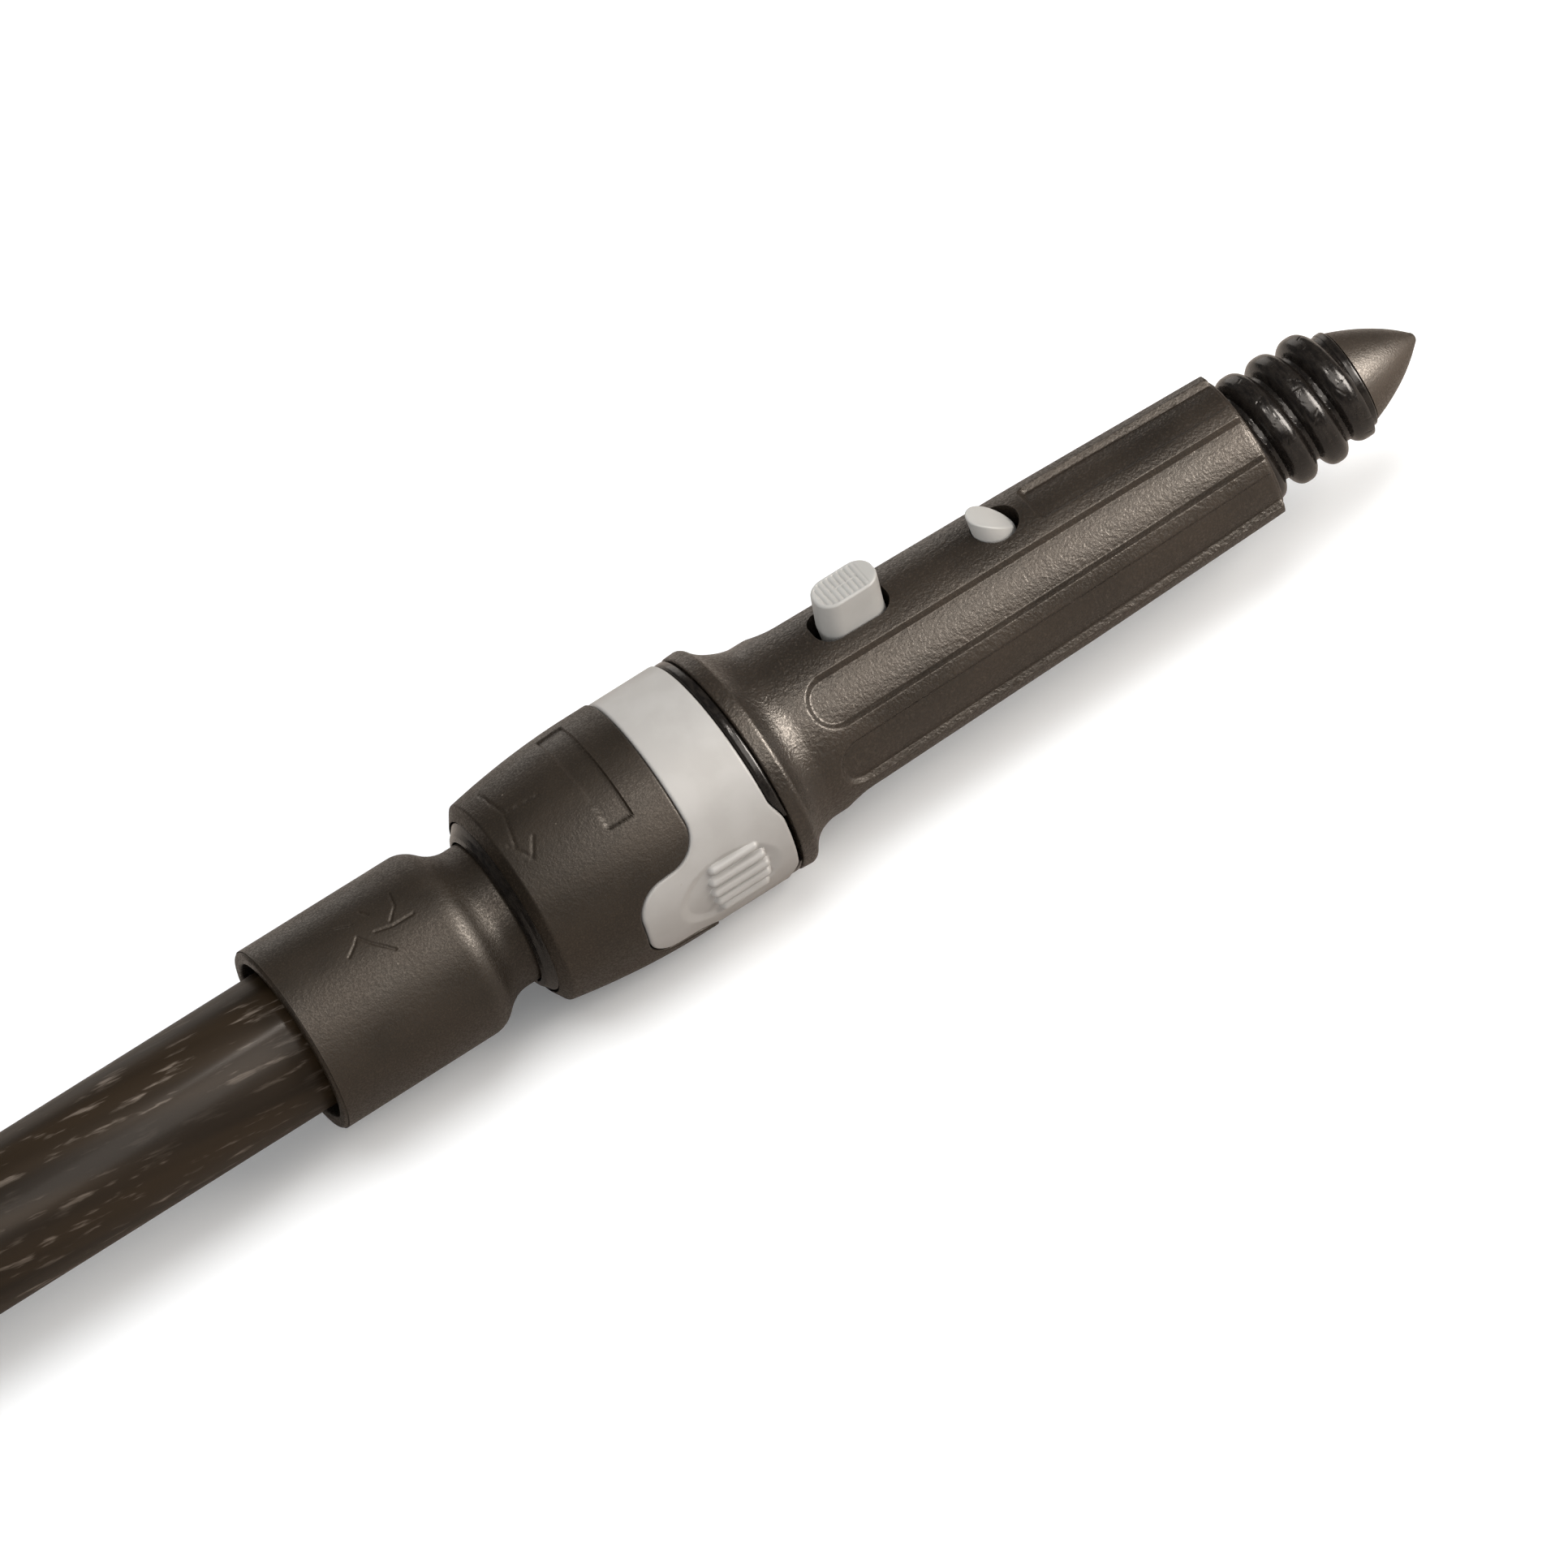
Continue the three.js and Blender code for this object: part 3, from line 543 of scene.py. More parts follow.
def make_sleeve():
    neck = (159.6, SPIGOT_R)
    bend = (163.4, 13.1)  # where the neck's curve turns over into the shoulder's
    shoulder = (167.0, SLEEVE_R - 0.1)
    bore_r, tube_bore_r = 8, 11.3
    recess_front, tube_stop = 186.5, 168.7
    inside = (175, 9, 0)  # only gives the corners next to it a direction
    outline = rounded([
        (SPIGOT_FRONT, bore_r, 0.3), (SPIGOT_FRONT, SPIGOT_R, 0.9), *groove(125.8, 129),
        *groove(139.25, 141.15), *groove(145.25, 147.15), (*neck, 0),
    ], 3)
    outline += curve(neck, (161.7, SPIGOT_R + 0.1), bend, 10)
    outline += curve(bend, (165.0, SLEEVE_R - 0.1), shoulder, 10)
    outline += line(shoulder, (SLEEVE_REAR - 0.5, SLEEVE_R), 0.14)
    outline += rounded([
        (SLEEVE_REAR, SLEEVE_R, 0.45), (SLEEVE_REAR, RECESS_R, 0.4), (recess_front, RECESS_R, 0.3),
        (recess_front, tube_bore_r, 0.2), (tube_stop, tube_bore_r, 0.2), (tube_stop, bore_r, 0.2), inside,
    ])[:-1]
    engraving = stroke_relief(sleeve_marks(), STROKE_DEPTH, STROKE_HALF_WIDTH, SLEEVE_R)

    def relief(back, radius, angle):
        return np.where(radius > SLEEVE_R - 0.3, engraving(back, radius, angle), 0)

    sleeve = turned("coupling_sleeve_moulding", outline, 640, relief)
    stand_for(sleeve, "coupling_sleeve", SATIN)


def make_sleeve_liner():
    liner = simple_ring("sleeve_liner_ring", LINER_FRONT, LINER_REAR, TUBE_R + 0.25, LINER_R)
    stand_for(liner, "sleeve_liner", GLOSS)


def make_o_ring(node):
    front, rear, outer = span(node)
    wire = (rear - front) / 2
    turn = np.arange(16) * TURN / 16
    outline = [((front + rear) / 2 + wire * math.cos(a), outer - wire + wire * math.sin(a)) for a in turn]
    stand_for(turned(node + "_rubber", outline, 128), node, RUBBER)


def make_nose():
    stub_r, screw_r = 4.7, 2.3
    point, blunt_end = (0.0, 0.12), (0.55, 0.98)
    outline = [point] + curve(point, (0.02, 0.62), blunt_end, 6)
    outline += curve(blunt_end, (4.6, 4.9), (NOSE_LENGTH - 0.15, NOSE_R - 0.05), 24)
    outline += rounded([
        (NOSE_LENGTH, NOSE_R, 0), (NOSE_LENGTH + 0.1, NOSE_R - 0.5, 0.1), (NOSE_LENGTH, stub_r, 0.1),
        (NOSE_STUB_REAR, stub_r, 0.3), (NOSE_STUB_REAR, screw_r, 0.1), (NOSE_LENGTH, screw_r, 0),
        (NOSE_LENGTH - 1.5, 0.1, 0),
    ])
    stand_for(turned("nose_point", outline, 128, closed=False), "nose_cone", NOSE_BLACK)


def thread_height(back, angle):
    """How far the right-handed ridge stands above the thread's root."""
    turn = (back - THREAD_CREST_BACK) / THREAD_PITCH + angle / TURN
    away = (turn - np.round(turn)) * THREAD_PITCH
    half_width = 2.3
    ridge = np.clip(1 - np.abs(away / half_width) ** 2.8, 0, 1) ** 0.8
    crest_back = back - away
    run_in = smoothstep(11.3, 15.3, crest_back)
    run_out = 1 - smoothstep(CONE_FRONT + 0.5, CONE_FRONT + 2, back)
    return (THREAD_CREST_R - THREAD_ROOT_R) * ridge * run_in * run_out


def thread_nicks():
    """Short scratches across the crests, most of them on the side that the camera looks at."""
    chance = np.random.default_rng(11)
    nicks = []
    for _ in range(32):
        angle = math.radians(chance.normal(45, 30))
        turn = chance.integers(0, 3)
        back = THREAD_CREST_BACK + THREAD_PITCH * (turn - angle / TURN) + chance.normal(0, 0.45)
        side = angle * THREAD_CREST_R
        heading = chance.normal(0, 0.9)
        half = chance.uniform(0.15, 0.75)
        nicks.append([
            (back - half * math.cos(heading), side - half * math.sin(heading)),
            (back + half * math.cos(heading), side + half * math.sin(heading)),
        ])
    return nicks


def make_threaded_tip():
    rim_r, rim_rear = 7.75, 12.55
    stub_r, screw_r = 5.9, 2.4
    nose_bore_r, nose_bore_rear = 5.2, 17.6
    outline = rounded([
        (THREAD_FRONT, nose_bore_r, 0.1), (THREAD_FRONT, rim_r, 0.3), (rim_rear, rim_r, 0.05),
    ])
    outline += line((rim_rear, THREAD_ROOT_R), (CONE_FRONT + 1.5, THREAD_ROOT_R), 0.12)
    outline += [
        (CONE_FRONT + 1.6, stub_r), (THREAD_REAR, stub_r), (THREAD_REAR, screw_r), (nose_bore_rear, screw_r),
        (nose_bore_rear, nose_bore_r),
    ]
    scratches = stroke_relief(thread_nicks(), 0.08, 0.17, THREAD_CREST_R)

    def relief(back, radius, angle):
        on_thread = (np.abs(radius - THREAD_ROOT_R) < 0.01) & (back >= rim_rear)
        height = thread_height(back, angle)
        nicks = scratches(back, radius, angle) * (height > 1.2)
        return np.where(on_thread, height + nicks, 0)

    stand_for(turned("threaded_tip_moulding", outline, 360, relief), "threaded_tip", GLOSS)


def flange_lean(angle):
    """How far the flange's rim and the ring's front edge lean back: forwards at the thumb pad."""
    return -0.6 * np.cos(angle - PAD_ANGLE)


def flute_depth(back, radius, angle):
    """Depth of the long flutes and of the short one in line with the button."""
    depth = np.zeros(np.broadcast(back, angle).shape)
    flutes = [(i * TURN / FLUTES, FLUTE_END, 4.1) for i in range(1, FLUTES)]
    flutes.append((0.0, SHORT_FLUTE_END, 1.5))
    for centre, end, corner in flutes:
        sideways = np.abs(smooth_angle(angle - centre)) * radius
        half_width = FLUTE_HALF_ANGLE * radius
        over = np.maximum(back - (end - corner), 0)
        beside = np.maximum(sideways - (half_width - corner), 0)
        inside = np.where(over > 0, corner - np.hypot(over, beside), half_width - sideways)
        inside = np.where((over > 0) & (beside == 0), end - back, inside)
        depth = np.maximum(depth, np.clip(inside / FLUTE_WALL, 0, 1))
    return FLUTE_DEPTH * depth


def opening(front, rear, half_width, corner):
    """A cutter for an opening in the cone's top, from inside its hollow to above its surface."""
    bottom, top = 8, 20
    levels = [(bottom, 0), (top, 0)]
    return stacked("cutter", levels, (front + rear) / 2, (rear - front) / 2, half_width, corner)


def loop_outline(half_length, half_width, corner, count):
    """Evenly spaced points (x, y) round a rectangle with round corners."""
    corner = min(corner, half_length - 1e-3, half_width - 1e-3)
    quarter = []
    straight_y, straight_x = half_width - corner, half_length - corner
    length = straight_y + corner * math.pi / 2 + straight_x
    for k in range(count // 4):
        run = length * k / (count // 4)
        if run < straight_y:
            quarter.append((half_length, run))
        elif run < straight_y + corner * math.pi / 2:
            turn = (run - straight_y) / corner
            quarter.append((straight_x + corner * math.cos(turn), straight_y + corner * math.sin(turn)))
        else:
            quarter.append((straight_x - (run - straight_y - corner * math.pi / 2), half_width))
    points = np.array(quarter)
    mirrored = points[::-1] * (-1, 1)
    first = np.concatenate([points, [(0, half_width)], mirrored[:-1]])
    return np.concatenate([first, -first])


def stacked(name, levels, back, half_length, half_width, corner, count=96, relief=None, lean=(0, 0)):
    """A post standing up along Z. Each level is (height, inset): the outline shrunk by inset at that height.
    relief(x, y, inset) raises points, and lean is a slope towards the tip and the height it starts from."""
    rings = []
    for height, inset in levels:
        shrink = min(inset, half_width - 0.02)
        outline = loop_outline(half_length - shrink, half_width - shrink, max(corner - shrink, 0.02), count)
        x, y = outline[:, 0], outline[:, 1]
        z = np.full(len(x), float(height))
        if relief:
            z = z + relief(x, y, inset)
        x = x + lean[0] * np.maximum(z - lean[1], 0)
        rings.append(np.stack([TIP_X + (x - back) * MM, y * MM, z * MM], axis=-1))
    return ring_solid(name, np.array(rings), closed=False)


def make_cone():
    lip_r, lip = 10.7, 0.5
    stub_bore_r, stub_bore_rear, screw_r = 6.2, 46, 2.4
    cavity_front, cavity_front_r = 50, 9.2
    cavity_rear, cavity_rear_r, socket_seat_r = 114, 10.8, 13.9
    outline = [(stub_bore_rear, stub_bore_r), (CONE_FRONT - lip + 0.2, stub_bore_r)]
    outline += [(CONE_FRONT - lip, THREAD_ROOT_R + 0.2), (CONE_FRONT - lip, lip_r - 0.25)]
    outline += [(CONE_FRONT - lip + 0.25, lip_r), (CONE_FRONT + 0.02, lip_r + 0.05)]
    front_corner = (CONE_FRONT + 0.28, CONE_FRONT_R)
    outline += [(CONE_FRONT + 0.02, CONE_FRONT_R - 0.3), (CONE_FRONT + 0.1, CONE_FRONT_R - 0.1)]
    outline += [front_corner]

    def taper(back):
        share = (back - CONE_FRONT) / (CONE_NECK_BACK - CONE_FRONT)
        return CONE_FRONT_R + (CONE_NECK_R - CONE_FRONT_R) * share + 4 * CONE_BULGE * share * (1 - share)

    # Each stretch is (its end, the step up to it); the steps are short where a flute ends.
    stretches = [(CONE_FRONT + 2, 0.4), (SHORT_FLUTE_END - 3.5, 2.0), (SHORT_FLUTE_END + 0.5, 0.16),
                 (FLUTE_END - 6, 2.0), (FLUTE_END + 0.5, 0.2), (CONE_NECK_BACK, 0.5)]
    last = front_corner
    for stop, step in stretches:
        following = (stop, taper(stop))
        outline += line(last, following, step)
        last = following
    flange_foot = (114.4, 17.3)
    inside = (60, 5, 0)  # only gives the first corner a direction
    outline += curve(last, (112.5, 14.75), flange_foot, 18)
    outline += curve(flange_foot, (114.8, FLANGE_R), (115.5, FLANGE_R), 6)
    outline += rounded([
        (CONE_REAR, FLANGE_R, 0.3), (CONE_REAR, socket_seat_r, 0.2), (cavity_rear, socket_seat_r, 0.2),
        (cavity_rear, cavity_rear_r, 0.2), (cavity_front, cavity_front_r, 0.4), (cavity_front, screw_r, 0.2),
        (stub_bore_rear, screw_r, 0), inside,
    ])[:-1]

    def relief(back, radius, angle):
        skin = (radius > lip_r + 0.5) & (back < CONE_NECK_BACK) & (back > CONE_FRONT - 0.1)
        return np.where(skin, -flute_depth(back, radius, angle), 0)

    def rim_shift(back, radius, angle):
        return flange_lean(angle) * smoothstep(111.0, 115.0, back) * smoothstep(13.8, 14.5, radius)

    cone = turned("cone_shell", outline, 720, relief, shift=rim_shift)
    button_front, button_rear, _ = span("thumb_button")
    pawl_front, pawl_rear, _ = span("latch_pawl")
    gap_front, gap_rear, slot_half_width = 0.9, 1.25, 3.6
    slot = opening(button_front - gap_front, button_rear + gap_rear, slot_half_width, BUTTON_CORNER)
    hole_middle = (pawl_front + pawl_rear) / 2 - 0.45  # a little nearer the tip than the pawl's middle
    half_length, half_width = 3.7, 3.65
    hole = opening(hole_middle - half_length, hole_middle + half_length, half_width, half_width)
    cut(cone, slot, hole)
    stand_for(cone, "cone_body", GRAINED)


def make_button():
    low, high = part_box("thumb_button")
    back = (TIP_X - (low.x + high.x) / 2) / MM
    half_length = (high.x - low.x) / 2 / MM
    half_width = high.y / MM
    bottom, top = low.z / MM, high.z / MM
    lean_from = 13.5
    fillet = 0.4
    shoulder = top - fillet
    levels = [(bottom, 0.3), (bottom + 0.3, 0.05), (lean_from, 0.0)]
    levels += [(lean_from + (shoulder - lean_from) * k / 4, 0.03 * k) for k in range(1, 5)]
    for k in range(1, 7):
        turn = k / 6 * math.pi / 2
        levels.append((shoulder + fillet * math.sin(turn), 0.12 + fillet * (1 - math.cos(turn))))
    levels += [(top, 0.12 + fillet + k * 0.09) for k in range(1, 31)]
    pitch = 0.88
    smooth_from = half_length - 2.0

    def relief(x, y, inset):
        on_top = smoothstep(0.55, 0.75, inset) * (1 - smoothstep(smooth_from - 0.3, smooth_from, x))
        rib = np.abs(np.cos(math.pi * x / pitch)) ** 0.7
        return on_top * 0.26 * (rib - 1)

    lean = (0.135, lean_from)
    button = stacked("button_cap", levels, back, half_length, half_width, BUTTON_CORNER, 288, relief, lean)
    stand_for(button, "thumb_button", PALE_GREY)


def make_pawl():
    """A round post whose top is a ramp: high towards the flange, falling towards the tip."""
    low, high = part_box("latch_pawl")
    back = (TIP_X - (low.x + high.x) / 2) / MM
    radius = high.y / MM
    bottom, top = low.z / MM, high.z / MM
    wall_top = 11.0
    drop = 4.9
    fillet = 0.35

    def relief(x, y, inset):
        share = np.clip((x + radius) / (2 * radius), 0, 1)
        return (top - wall_top - fillet - drop * share**1.6) * (inset > 0)

    levels = [(bottom, 0.0), (wall_top - 1.0, 0.0)]
    for k in range(1, 7):
        turn = k / 6 * math.pi / 2
        levels.append((wall_top + fillet * math.sin(turn), fillet * (1 - math.cos(turn))))
    levels += [(wall_top + fillet, fillet + k * 0.2) for k in range(1, 14)]
    pawl = stacked("pawl_pin", levels, back, radius, radius, radius, relief=relief)
    stand_for(pawl, "latch_pawl", PALE_GREY)


# ---- The release ring and the barrel, which meet along a curved seam ----

def barrel_radius(back):
    """The barrel's outside: straight by the ring, then drawn in towards its mouth."""
    taper_front, taper_rear, drop = 134.5, 155.0, 2.0
    share = np.clip((back - taper_front) / (taper_rear - taper_front), 0, 1)
    return BARREL_R - drop * share**1.9


def seam_outline():
    """The seam as (back, sideways) points, from the far side of the pole round the lobe and back to it."""
    far = math.pi * RING_R
    lobe_corner, fillet = 5.3, 5.6
    lobe_foot = LOBE_HALF_WIDTH + 1.1
    bends = rounded([
        (LOBE_REAR, 0, 0), (LOBE_REAR, LOBE_HALF_WIDTH, lobe_corner), (RING_BAND_REAR, lobe_foot, fillet),
        (RING_BAND_REAR, far, 0),
    ], 36)
    middle, *bends, end = bends
    half = line(middle, bends[0], 0.12)[:-1] + bends + line(bends[-1], end, 0.5)
    mirrored = [(back, -side) for back, side in reversed(half)]
    return np.array(mirrored[1:] + [middle] + half)


def seam_normal(points):
    """Unit normals along the seam, pointing from the ring to the barrel, in (back, sideways)."""
    along = np.roll(points, -1, axis=0) - np.roll(points, 1, axis=0)
    along[0], along[-1] = points[1] - points[0], points[-1] - points[-2]
    normal = np.stack([along[:, 1], -along[:, 0]], axis=-1)
    return normal / np.linalg.norm(normal, axis=1)[:, None]


def wall_angle(sideways, surface_r, radius):
    """Angle of a wall point below a surface point. By the lobe the walls run straight in along the pad's
    direction, so that the ring can sink between them."""
    angle = sideways / RING_R
    straight = np.arcsin(np.clip(surface_r * np.sin(angle) / radius, -0.999, 0.999))
    share = 1 - smoothstep(math.radians(38), math.radians(55), np.abs(angle))
    return angle + (straight - angle) * share


def pad_relief(back, sideways):
    """The thumb pad: a shallow dish with five raised ribs along the pole."""
    dish_back, dish_length, dish_width = 128.5, 8.8, 6.2
    away = np.hypot((back - dish_back) / dish_length, sideways / dish_width)
    height = -0.5 * (1 - smoothstep(0.74, 1.0, away))
    rib_r, pitch = 0.85, 2.15
    for i, length in enumerate((8.4, 9.55, 9.9, 9.55, 8.4)):
        middle = (i - 2) * pitch
        run = np.maximum(np.abs(back - PAD_BACK) - (length / 2 - rib_r), 0)
        across = np.hypot(run, sideways - middle)
        rib = np.sqrt(np.clip(1 - (across / rib_r) ** 2, 0, 1))
        height = np.maximum(height, -0.45 + rib)
    return height


def ring_front(sideways):
    """The ring's front edge, which leans, with a tongue that stands out of it in front of the pad."""
    tongue = (RING_FRONT - 0.6 - TONGUE_FRONT) * (1 - smoothstep(5.0, 9.5, np.abs(sideways)))
    return RING_FRONT + flange_lean(PAD_ANGLE + sideways / RING_R) - tongue


def make_release_ring():
    """Runs from the front edge over the outside to the seam, and back inside."""
    seam = seam_outline()
    normal = seam_normal(seam)
    rear_back, seam_side = seam[:, 0], seam[:, 1]
    front_back = ring_front(seam_side)
    fillet = 0.45
    inner = 15.9
    rings = []

    def skin(back):
        return np.minimum(RING_R, barrel_radius(back) - 0.12)

    def surface(back, side):
        return skin(back) + pad_relief(back, side)

    for k in range(5):
        turn = k / 4 * math.pi / 2
        back = front_back + fillet * (1 - math.sin(turn))
        radius = surface(back, seam_side) - fillet * (1 - math.cos(turn))
        rings.insert(0, place(back, radius, PAD_ANGLE + seam_side / RING_R))
    start_back = front_back + fillet
    end_back, end_side = rear_back - normal[:, 0] * fillet, seam_side - normal[:, 1] * fillet
    count = 150
    for k in range(1, count):
        share = k / count
        back = start_back + (end_back - start_back) * share
        side = seam_side + (end_side - seam_side) * share
        rings.append(place(back, surface(back, side), PAD_ANGLE + side / RING_R))
    for k in range(5):
        turn = k / 4 * math.pi / 2
        back = end_back + normal[:, 0] * fillet * math.sin(turn)
        side = end_side + normal[:, 1] * fillet * math.sin(turn)
        radius = surface(back, side) - fillet * (1 - math.cos(turn))
        rings.append(place(back, radius, PAD_ANGLE + side / RING_R))
    inner_angle = PAD_ANGLE + wall_angle(seam_side, skin(rear_back), inner)
    rings.append(place(rear_back, inner, inner_angle))
    rings.append(place(front_back, inner, inner_angle))
    ring = ring_solid("release_ring_moulding", np.array(rings))
    stand_for(ring, "release_ring", GREY)


def make_barrel():
    """Runs from the seam over the outside to the mouth, and back inside."""
    seam = seam_outline()
    normal = seam_normal(seam)
    seam_back = seam[:, 0] + normal[:, 0] * SEAM
    seam_side = seam[:, 1] + normal[:, 1] * SEAM
    inner = 13.9
    fillet = 0.35
    start_back = seam_back + normal[:, 0] * fillet
    start_side = seam_side + normal[:, 1] * fillet
    rim_back = 154.6
    count = 90
    rings = []
    for k in range(5):
        turn = k / 4 * math.pi / 2
        back = seam_back + normal[:, 0] * fillet * (1 - math.cos(turn))
        side = seam_side + normal[:, 1] * fillet * (1 - math.cos(turn))
        radius = barrel_radius(back) - fillet * (1 - math.sin(turn))
        rings.append(place(back, radius, PAD_ANGLE + side / RING_R))
    even_side = np.linspace(seam_side[0], seam_side[-1], len(seam_side))
    marks = stroke_relief(barrel_marks(), STROKE_DEPTH, STROKE_HALF_WIDTH, RING_R)
    for k in range(1, count + 1):
        share = k / count
        back = start_back + (rim_back - start_back) * share
        side = start_side + (even_side - start_side) * smoothstep(0.0, 0.6, share)
        angle = PAD_ANGLE + side / RING_R
        panel = panel_depth(back, smooth_angle(angle) * RING_R)
        rings.append(place(back, barrel_radius(back) + marks(back, 0, angle) - panel, angle))
    angle = PAD_ANGLE + even_side / RING_R
    rim_r = float(barrel_radius(rim_back))
    edge = (rim_back + 0.5, rim_r - 0.25)
    mouth = curve((rim_back, rim_r), (rim_back + 0.35, rim_r - 0.02), edge, 4)
    mouth += curve(edge, (BARREL_REAR - 0.5, 15.2), (BARREL_REAR, MOUTH_R + 0.4), 8)
    mouth += [(BARREL_REAR, MOUTH_R + 0.25), (MOUTH_FRONT, MOUTH_R + 0.3), (MOUTH_FRONT, inner)]
    for back, radius in mouth:
        rings.append(place(back, radius, angle))
    rings.append(place(seam_back, inner, PAD_ANGLE + wall_angle(seam_side, BARREL_R, inner)))
    barrel = ring_solid("barrel_shell", np.array(rings))
    stand_for(barrel, "collar_barrel", SATIN)


def barrel_marks():
    """A thin zigzag arrow on the barrel, in line with the strokes on the sleeve."""
    return [
        [(151.9, -7.0), (151.7, -3.0), (151.2, 0.9), (151.6, 2.3), (152.9, 7.5)],
        [(153.6, 6.2), (151.7, 10.1), (149.9, 7.2)],
        [(151.2, 0.9), (148.6, 1.4), (145.8, 2.0)],
    ]


def panel_depth(back, sideways):
    """A plain shallow panel let into the barrel."""
    middle_back, middle_side = 138.5, 1.9
    half_length, half_width, depth = 2.15, 11.0, 0.35
    edge = np.minimum(half_length - np.abs(back - middle_back), half_width - np.abs(sideways - middle_side))
    return depth * smoothstep(0.0, 0.25, edge)


def make_flange_washer():
    """A round-edged snap ring that fills the gap between the flange and the release ring's front edge."""
    inner = 13.9
    gap_half_width = 5.6
    middle_angle = PAD_ANGLE + math.pi  # opposite the gap
    thickness = WASHER_REAR - WASHER_FRONT
    edge = 0.6
    section = rounded([
        (0, inner, 0.1), (0, WASHER_R, edge), (thickness, WASHER_R, edge), (thickness, inner, 0.1),
    ], 6)
    rings = []
    for way in np.linspace(-1, 1, 360):
        around = []
        for depth, radius in section:
            angle = way * (math.pi - math.asin(gap_half_width / radius))
            sideways = RING_R * smooth_angle(angle + math.pi)
            if abs(sideways) < RING_R:
                sideways = RING_R * math.asin(min(1, radius * math.sin(abs(sideways) / RING_R) / RING_R))
            rear = ring_front(sideways) - 0.12
            front = WASHER_FRONT + flange_lean(middle_angle + angle)
            back = front + (rear - front) * depth / thickness
            around.append(place(back, radius, middle_angle + angle))
        rings.append(around)
    washer = ring_solid("flange_washer_ring", np.array(rings), closed=False)
    stand_for(washer, "flange_washer", GLOSS)


def make_coupling_insides():
    socket = simple_ring("coupling_socket_tube", SOCKET_FRONT, SOCKET_REAR, SOCKET_BORE_R, SOCKET_R)
    stand_for(socket, "coupling_socket", GLOSS)
    corners = [
        (MOUTH_FRONT, SOCKET_BORE_R, 0.1), (MOUTH_FRONT, MOUTH_R, 0.1), (BARREL_REAR - 0.1, MOUTH_R, 0.3),
        (BARREL_REAR + 0.5, 13.2, 0.8), (MOUTH_REAR - 0.3, 12.6, 0.4), (MOUTH_REAR, 11.9, 0.25),
        (MOUTH_REAR, SOCKET_BORE_R, 0.2),
    ]
    stand_for(turned("mouth_ring_insert", rounded(corners)), "collar_mouth_ring", GLOSS)


def make_tip_screw():
    front, rear, head_r = span("tip_screw")
    head_front, socket_front = rear - 3, rear - 2
    shank_r = 2
    corners = [
        (front, 0.1, 0), (front, shank_r, 0.5), (head_front, shank_r, 0.1), (head_front, head_r, 0.3),
        (rear, head_r, 0.5), (rear, shank_r, 0.2), (socket_front, 1.6, 0.2), (socket_front, 0.1, 0),
    ]
    stand_for(turned("tip_screw_turned", rounded(corners), 96, closed=False), "tip_screw", STEEL)


def make_latch_spring():
    """A coil with closed end turns, built at one length, though the real spring shortens as the lever goes
    down.
    """
    low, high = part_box("latch_spring")
    wire = 0.35
    coil_r = (high.x - low.x) / 2 / MM - wire
    middle = (low.x + high.x) / 2
    bottom, top = low.z / MM + wire, high.z / MM - wire
    turns, steps, sides = 6, 240, 10
    share = np.linspace(0, 1, steps + 1)
    rise = smoothstep(0.0, 1.0, share) * 0.35 + share * 0.65
    angle = TURN * turns * share
    outward = np.stack([np.cos(angle), np.sin(angle), np.zeros_like(angle)], axis=-1)
    up = np.array([0, 0, 1.0])
    centre = coil_r * outward + (bottom + (top - bottom) * rise)[:, None] * up
    rings = []
    for point, out in zip(centre, outward):
        turns_round = np.arange(sides) * TURN / sides
        section = [point + wire * (math.cos(a) * out + math.sin(a) * up) for a in turns_round]
        rings.append(np.array(section) * MM + np.array([middle, 0, 0]))
    spring = ring_solid("latch_spring_coil", np.array(rings), closed=False)
    stand_for(spring, "latch_spring", STEEL)
    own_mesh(spring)


def keep_cad(node, material):
    """A hidden CAD node keeps its shape, with its edges softened and a better material."""
    piece = frame["nodes"][node]
    piece.data.materials.clear()
    piece.data.materials.append(material)
    bevel = piece.modifiers.new("soft_edges", "BEVEL")
    bevel.width = 0.15 * MM
    bevel.segments = 2
    bevel.limit_method = "ANGLE"
    bevel.angle_limit = math.radians(40)


make_tube()
make_end_plug()
make_sleeve()
make_sleeve_liner()
make_o_ring("front_o_ring")
make_o_ring("rear_o_ring")
make_nose()
make_threaded_tip()
make_tip_screw()
make_cone()
make_button()
make_pawl()
make_latch_spring()
make_release_ring()
make_barrel()
make_flange_washer()
make_coupling_insides()
keep_cad("latch_lever", SATIN)
keep_cad("latch_pivot_pin", STEEL)
keep_cad("ring_tooth", STEEL)
keep_cad("ring_return_spring", STEEL)


# ---- Floor, lights and camera ----

def make_floor():
    """A pale floor, white to the camera, which gives the object only a dim and warm light back."""
    reach = 40.0
    height = -(BARREL_R + 0.1) * MM
    sides = ((-1, -1), (1, -1), (1, 1), (-1, 1))
    floor = mesh_object("floor", [(reach * x, reach * y, height) for x, y in sides], [(0, 1, 2, 3)])
    shader = Shader("pale_floor")
    rays = shader.add("ShaderNodeLightPath").outputs
    colour = shader.mix(rays["Is Glossy Ray"], (0.25, 0.21, 0.185), (0.6, 0.53, 0.47))
    colour = shader.mix(rays["Is Camera Ray"], colour, (1.04, 1.06, 1.08))
    floor.data.materials.append(shader.set(Base_Color=colour, Roughness=0.9, Specular_IOR_Level=0.1))


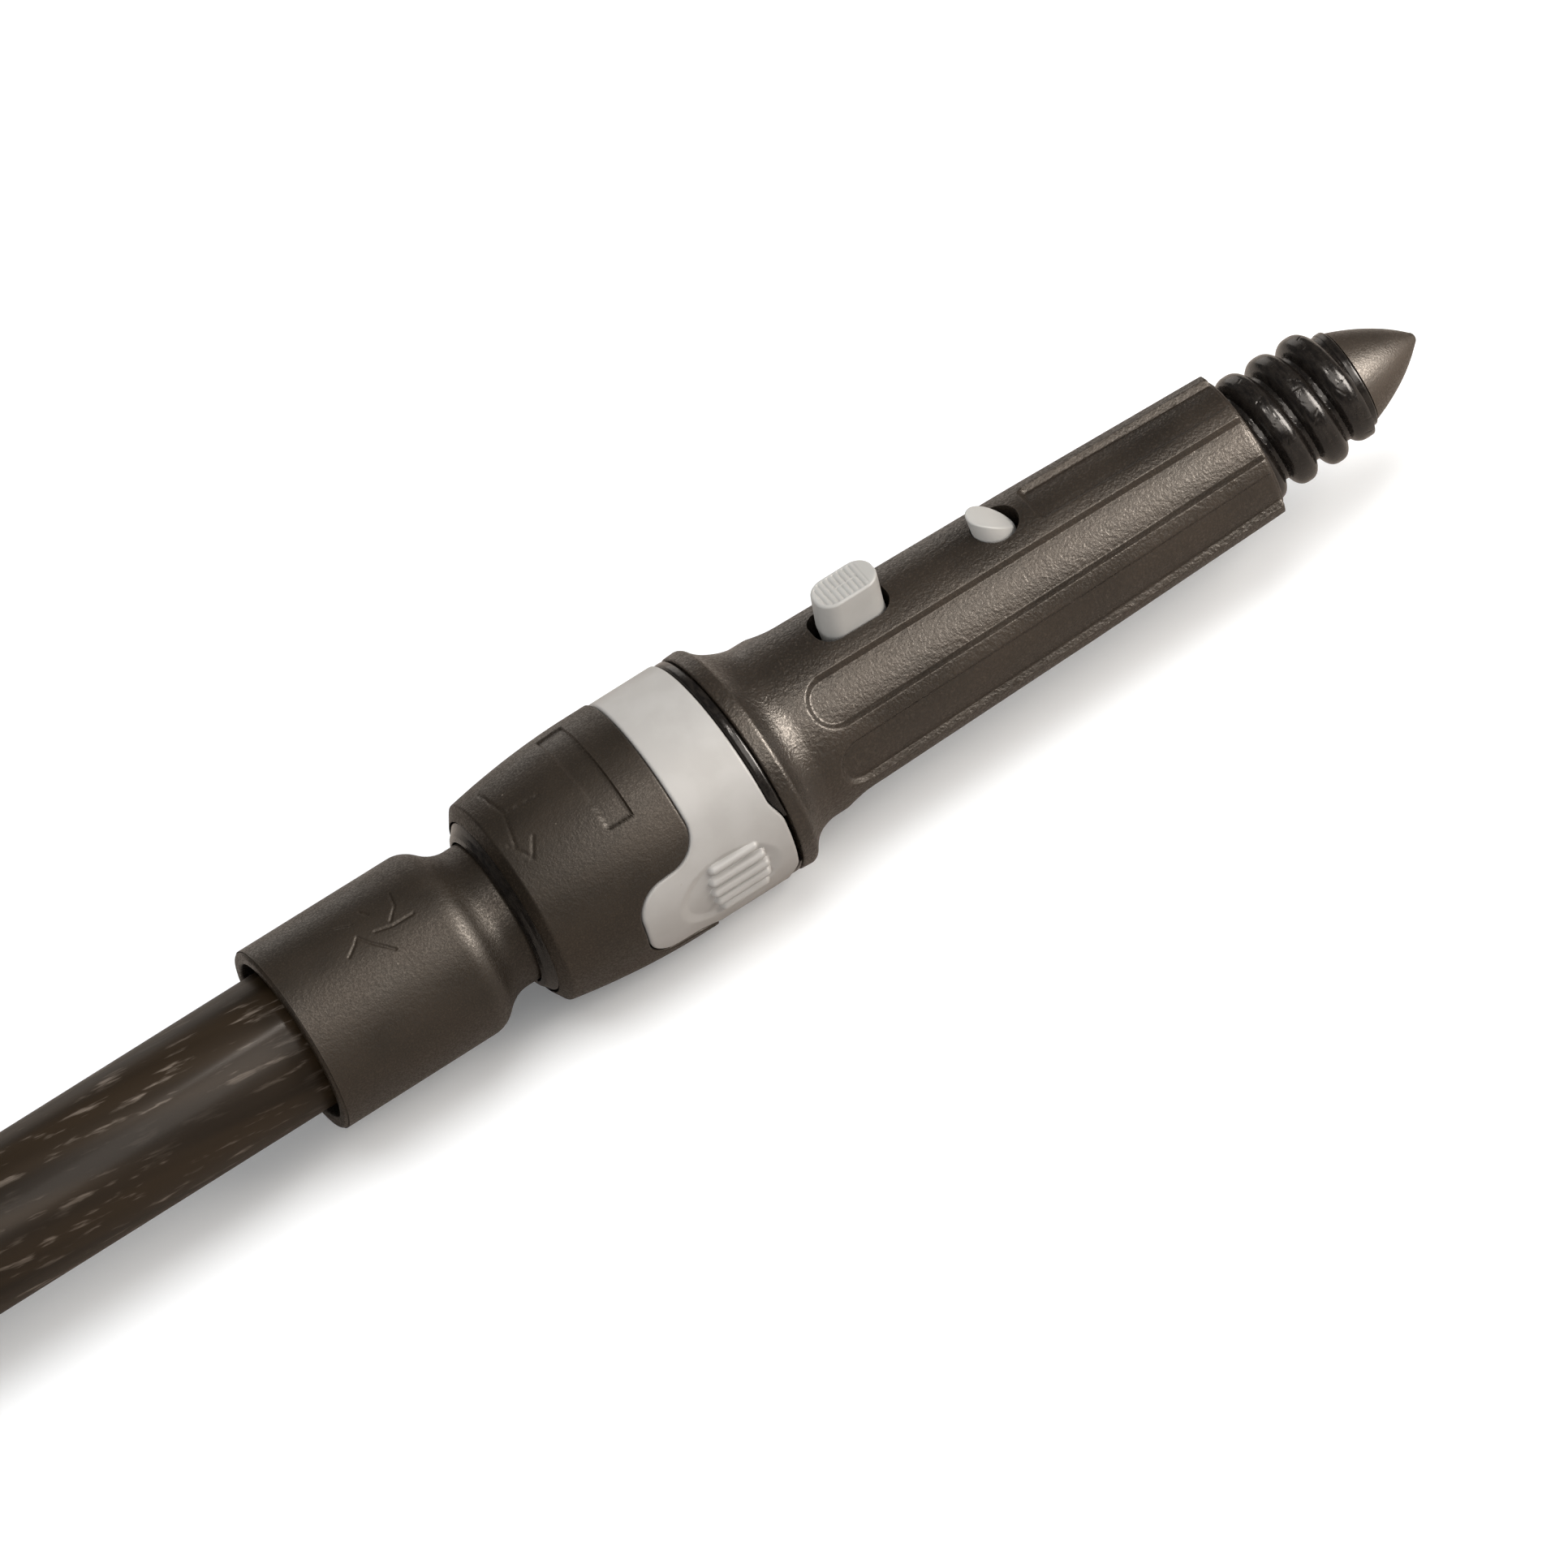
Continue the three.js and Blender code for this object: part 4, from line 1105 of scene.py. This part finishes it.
def make_world(strength, reflected):
    """A soft even dome, which glossy surfaces mirror as a darker room."""
    world = bpy.data.worlds.new("studio")
    bpy.context.scene.world = world
    world.use_nodes = True
    tree = world.node_tree
    background = tree.nodes["Background"]
    background.inputs["Color"].default_value = (1.0, 0.99, 0.975, 1)
    rays = tree.nodes.new("ShaderNodeLightPath")
    dome = tree.nodes.new("ShaderNodeMapRange")
    dome.inputs["To Min"].default_value = strength
    dome.inputs["To Max"].default_value = reflected
    tree.links.new(rays.outputs["Is Glossy Ray"], dome.inputs["Value"])
    tree.links.new(dome.outputs["Result"], background.inputs["Strength"])


def camera_axes():
    """The camera's right, up and back, and the direction across the pole in its picture."""
    away = math.radians(10)  # behind square to the pole
    around = math.radians(45)  # round from the button
    slope = math.radians(32.1)  # of the pole in the picture
    back = Vector((-math.sin(away), -math.cos(away) * math.sin(around), math.cos(away) * math.cos(around)))
    pole = Vector((1, 0, 0))
    pole = (pole - back * pole.dot(back)).normalized()
    beside = back.cross(pole)
    right = pole * math.cos(slope) - beside * math.sin(slope)
    up = pole * math.sin(slope) + beside * math.cos(slope)
    return right, up, back, beside


def make_camera():
    right, up, back, beside = camera_axes()
    frame_width = 224.0 * MM
    middle_back, middle_beside = 112.4 * MM, 6.34 * MM
    target = Vector((TIP_X - middle_back, 0, 0)) - beside * middle_beside
    data = bpy.data.cameras.new("camera")
    data.lens = 900
    data.sensor_width = 36
    data.clip_end = 100
    camera = bpy.data.objects.new("camera", data)
    bpy.context.scene.collection.objects.link(camera)
    turn = Matrix((right, up, back)).transposed().to_4x4()
    distance = frame_width * data.lens / data.sensor_width
    camera.matrix_world = Matrix.Translation(target + back * distance) @ turn
    bpy.context.scene.camera = camera


def aim_light(name, kind, towards, energy, size, diffuse=True, glossy=True):
    """A light that shines at the head from a direction. size is a sun's angle or an area light's side."""
    distance = 0.6
    direction = Vector(towards).normalized()
    data = bpy.data.lights.new(name, kind)
    data.energy = energy
    if kind == "SUN":
        data.angle = size
    else:
        data.size = size
        data.color = (1.0, 0.93, 0.86)
    light = bpy.data.objects.new(name, data)
    bpy.context.scene.collection.objects.link(light)
    light.location = Vector((TIP_X - 0.11, 0, 0)) + direction * distance
    light.rotation_mode = "QUATERNION"
    light.rotation_quaternion = direction.to_track_quat("Z", "Y")
    light.visible_camera = False
    light.visible_diffuse = diffuse
    light.visible_glossy = glossy


make_floor()
make_world(0.5, 0.12)
SUN_ANGLE = math.radians(50)
aim_light("overhead", "SUN", (0.0, 0.04, 1.0), energy=1.6, size=SUN_ANGLE, glossy=False)
aim_light("side_fill", "SUN", (-0.52, -0.82, 0.24), energy=1.0, size=SUN_ANGLE, glossy=False)
aim_light("softbox", "AREA", (0.72, -0.5, 0.48), energy=2.6, size=0.34)
aim_light("softbox_sheen", "AREA", (0.76, -0.46, 0.45), energy=8.5, size=0.32, diffuse=False)
aim_light("front_sheen", "AREA", (0.17, -0.68, 0.71), energy=2.2, size=0.36, diffuse=False)
aim_light("crest_strip", "AREA", (0.17, -0.31, 0.94), energy=0.8, size=0.06, diffuse=False)
aim_light("back_sheen", "AREA", (0.15, 0.97, 0.2), energy=0.4, size=0.3, diffuse=False)
make_camera()
bpy.context.scene.view_settings.view_transform = "Standard"
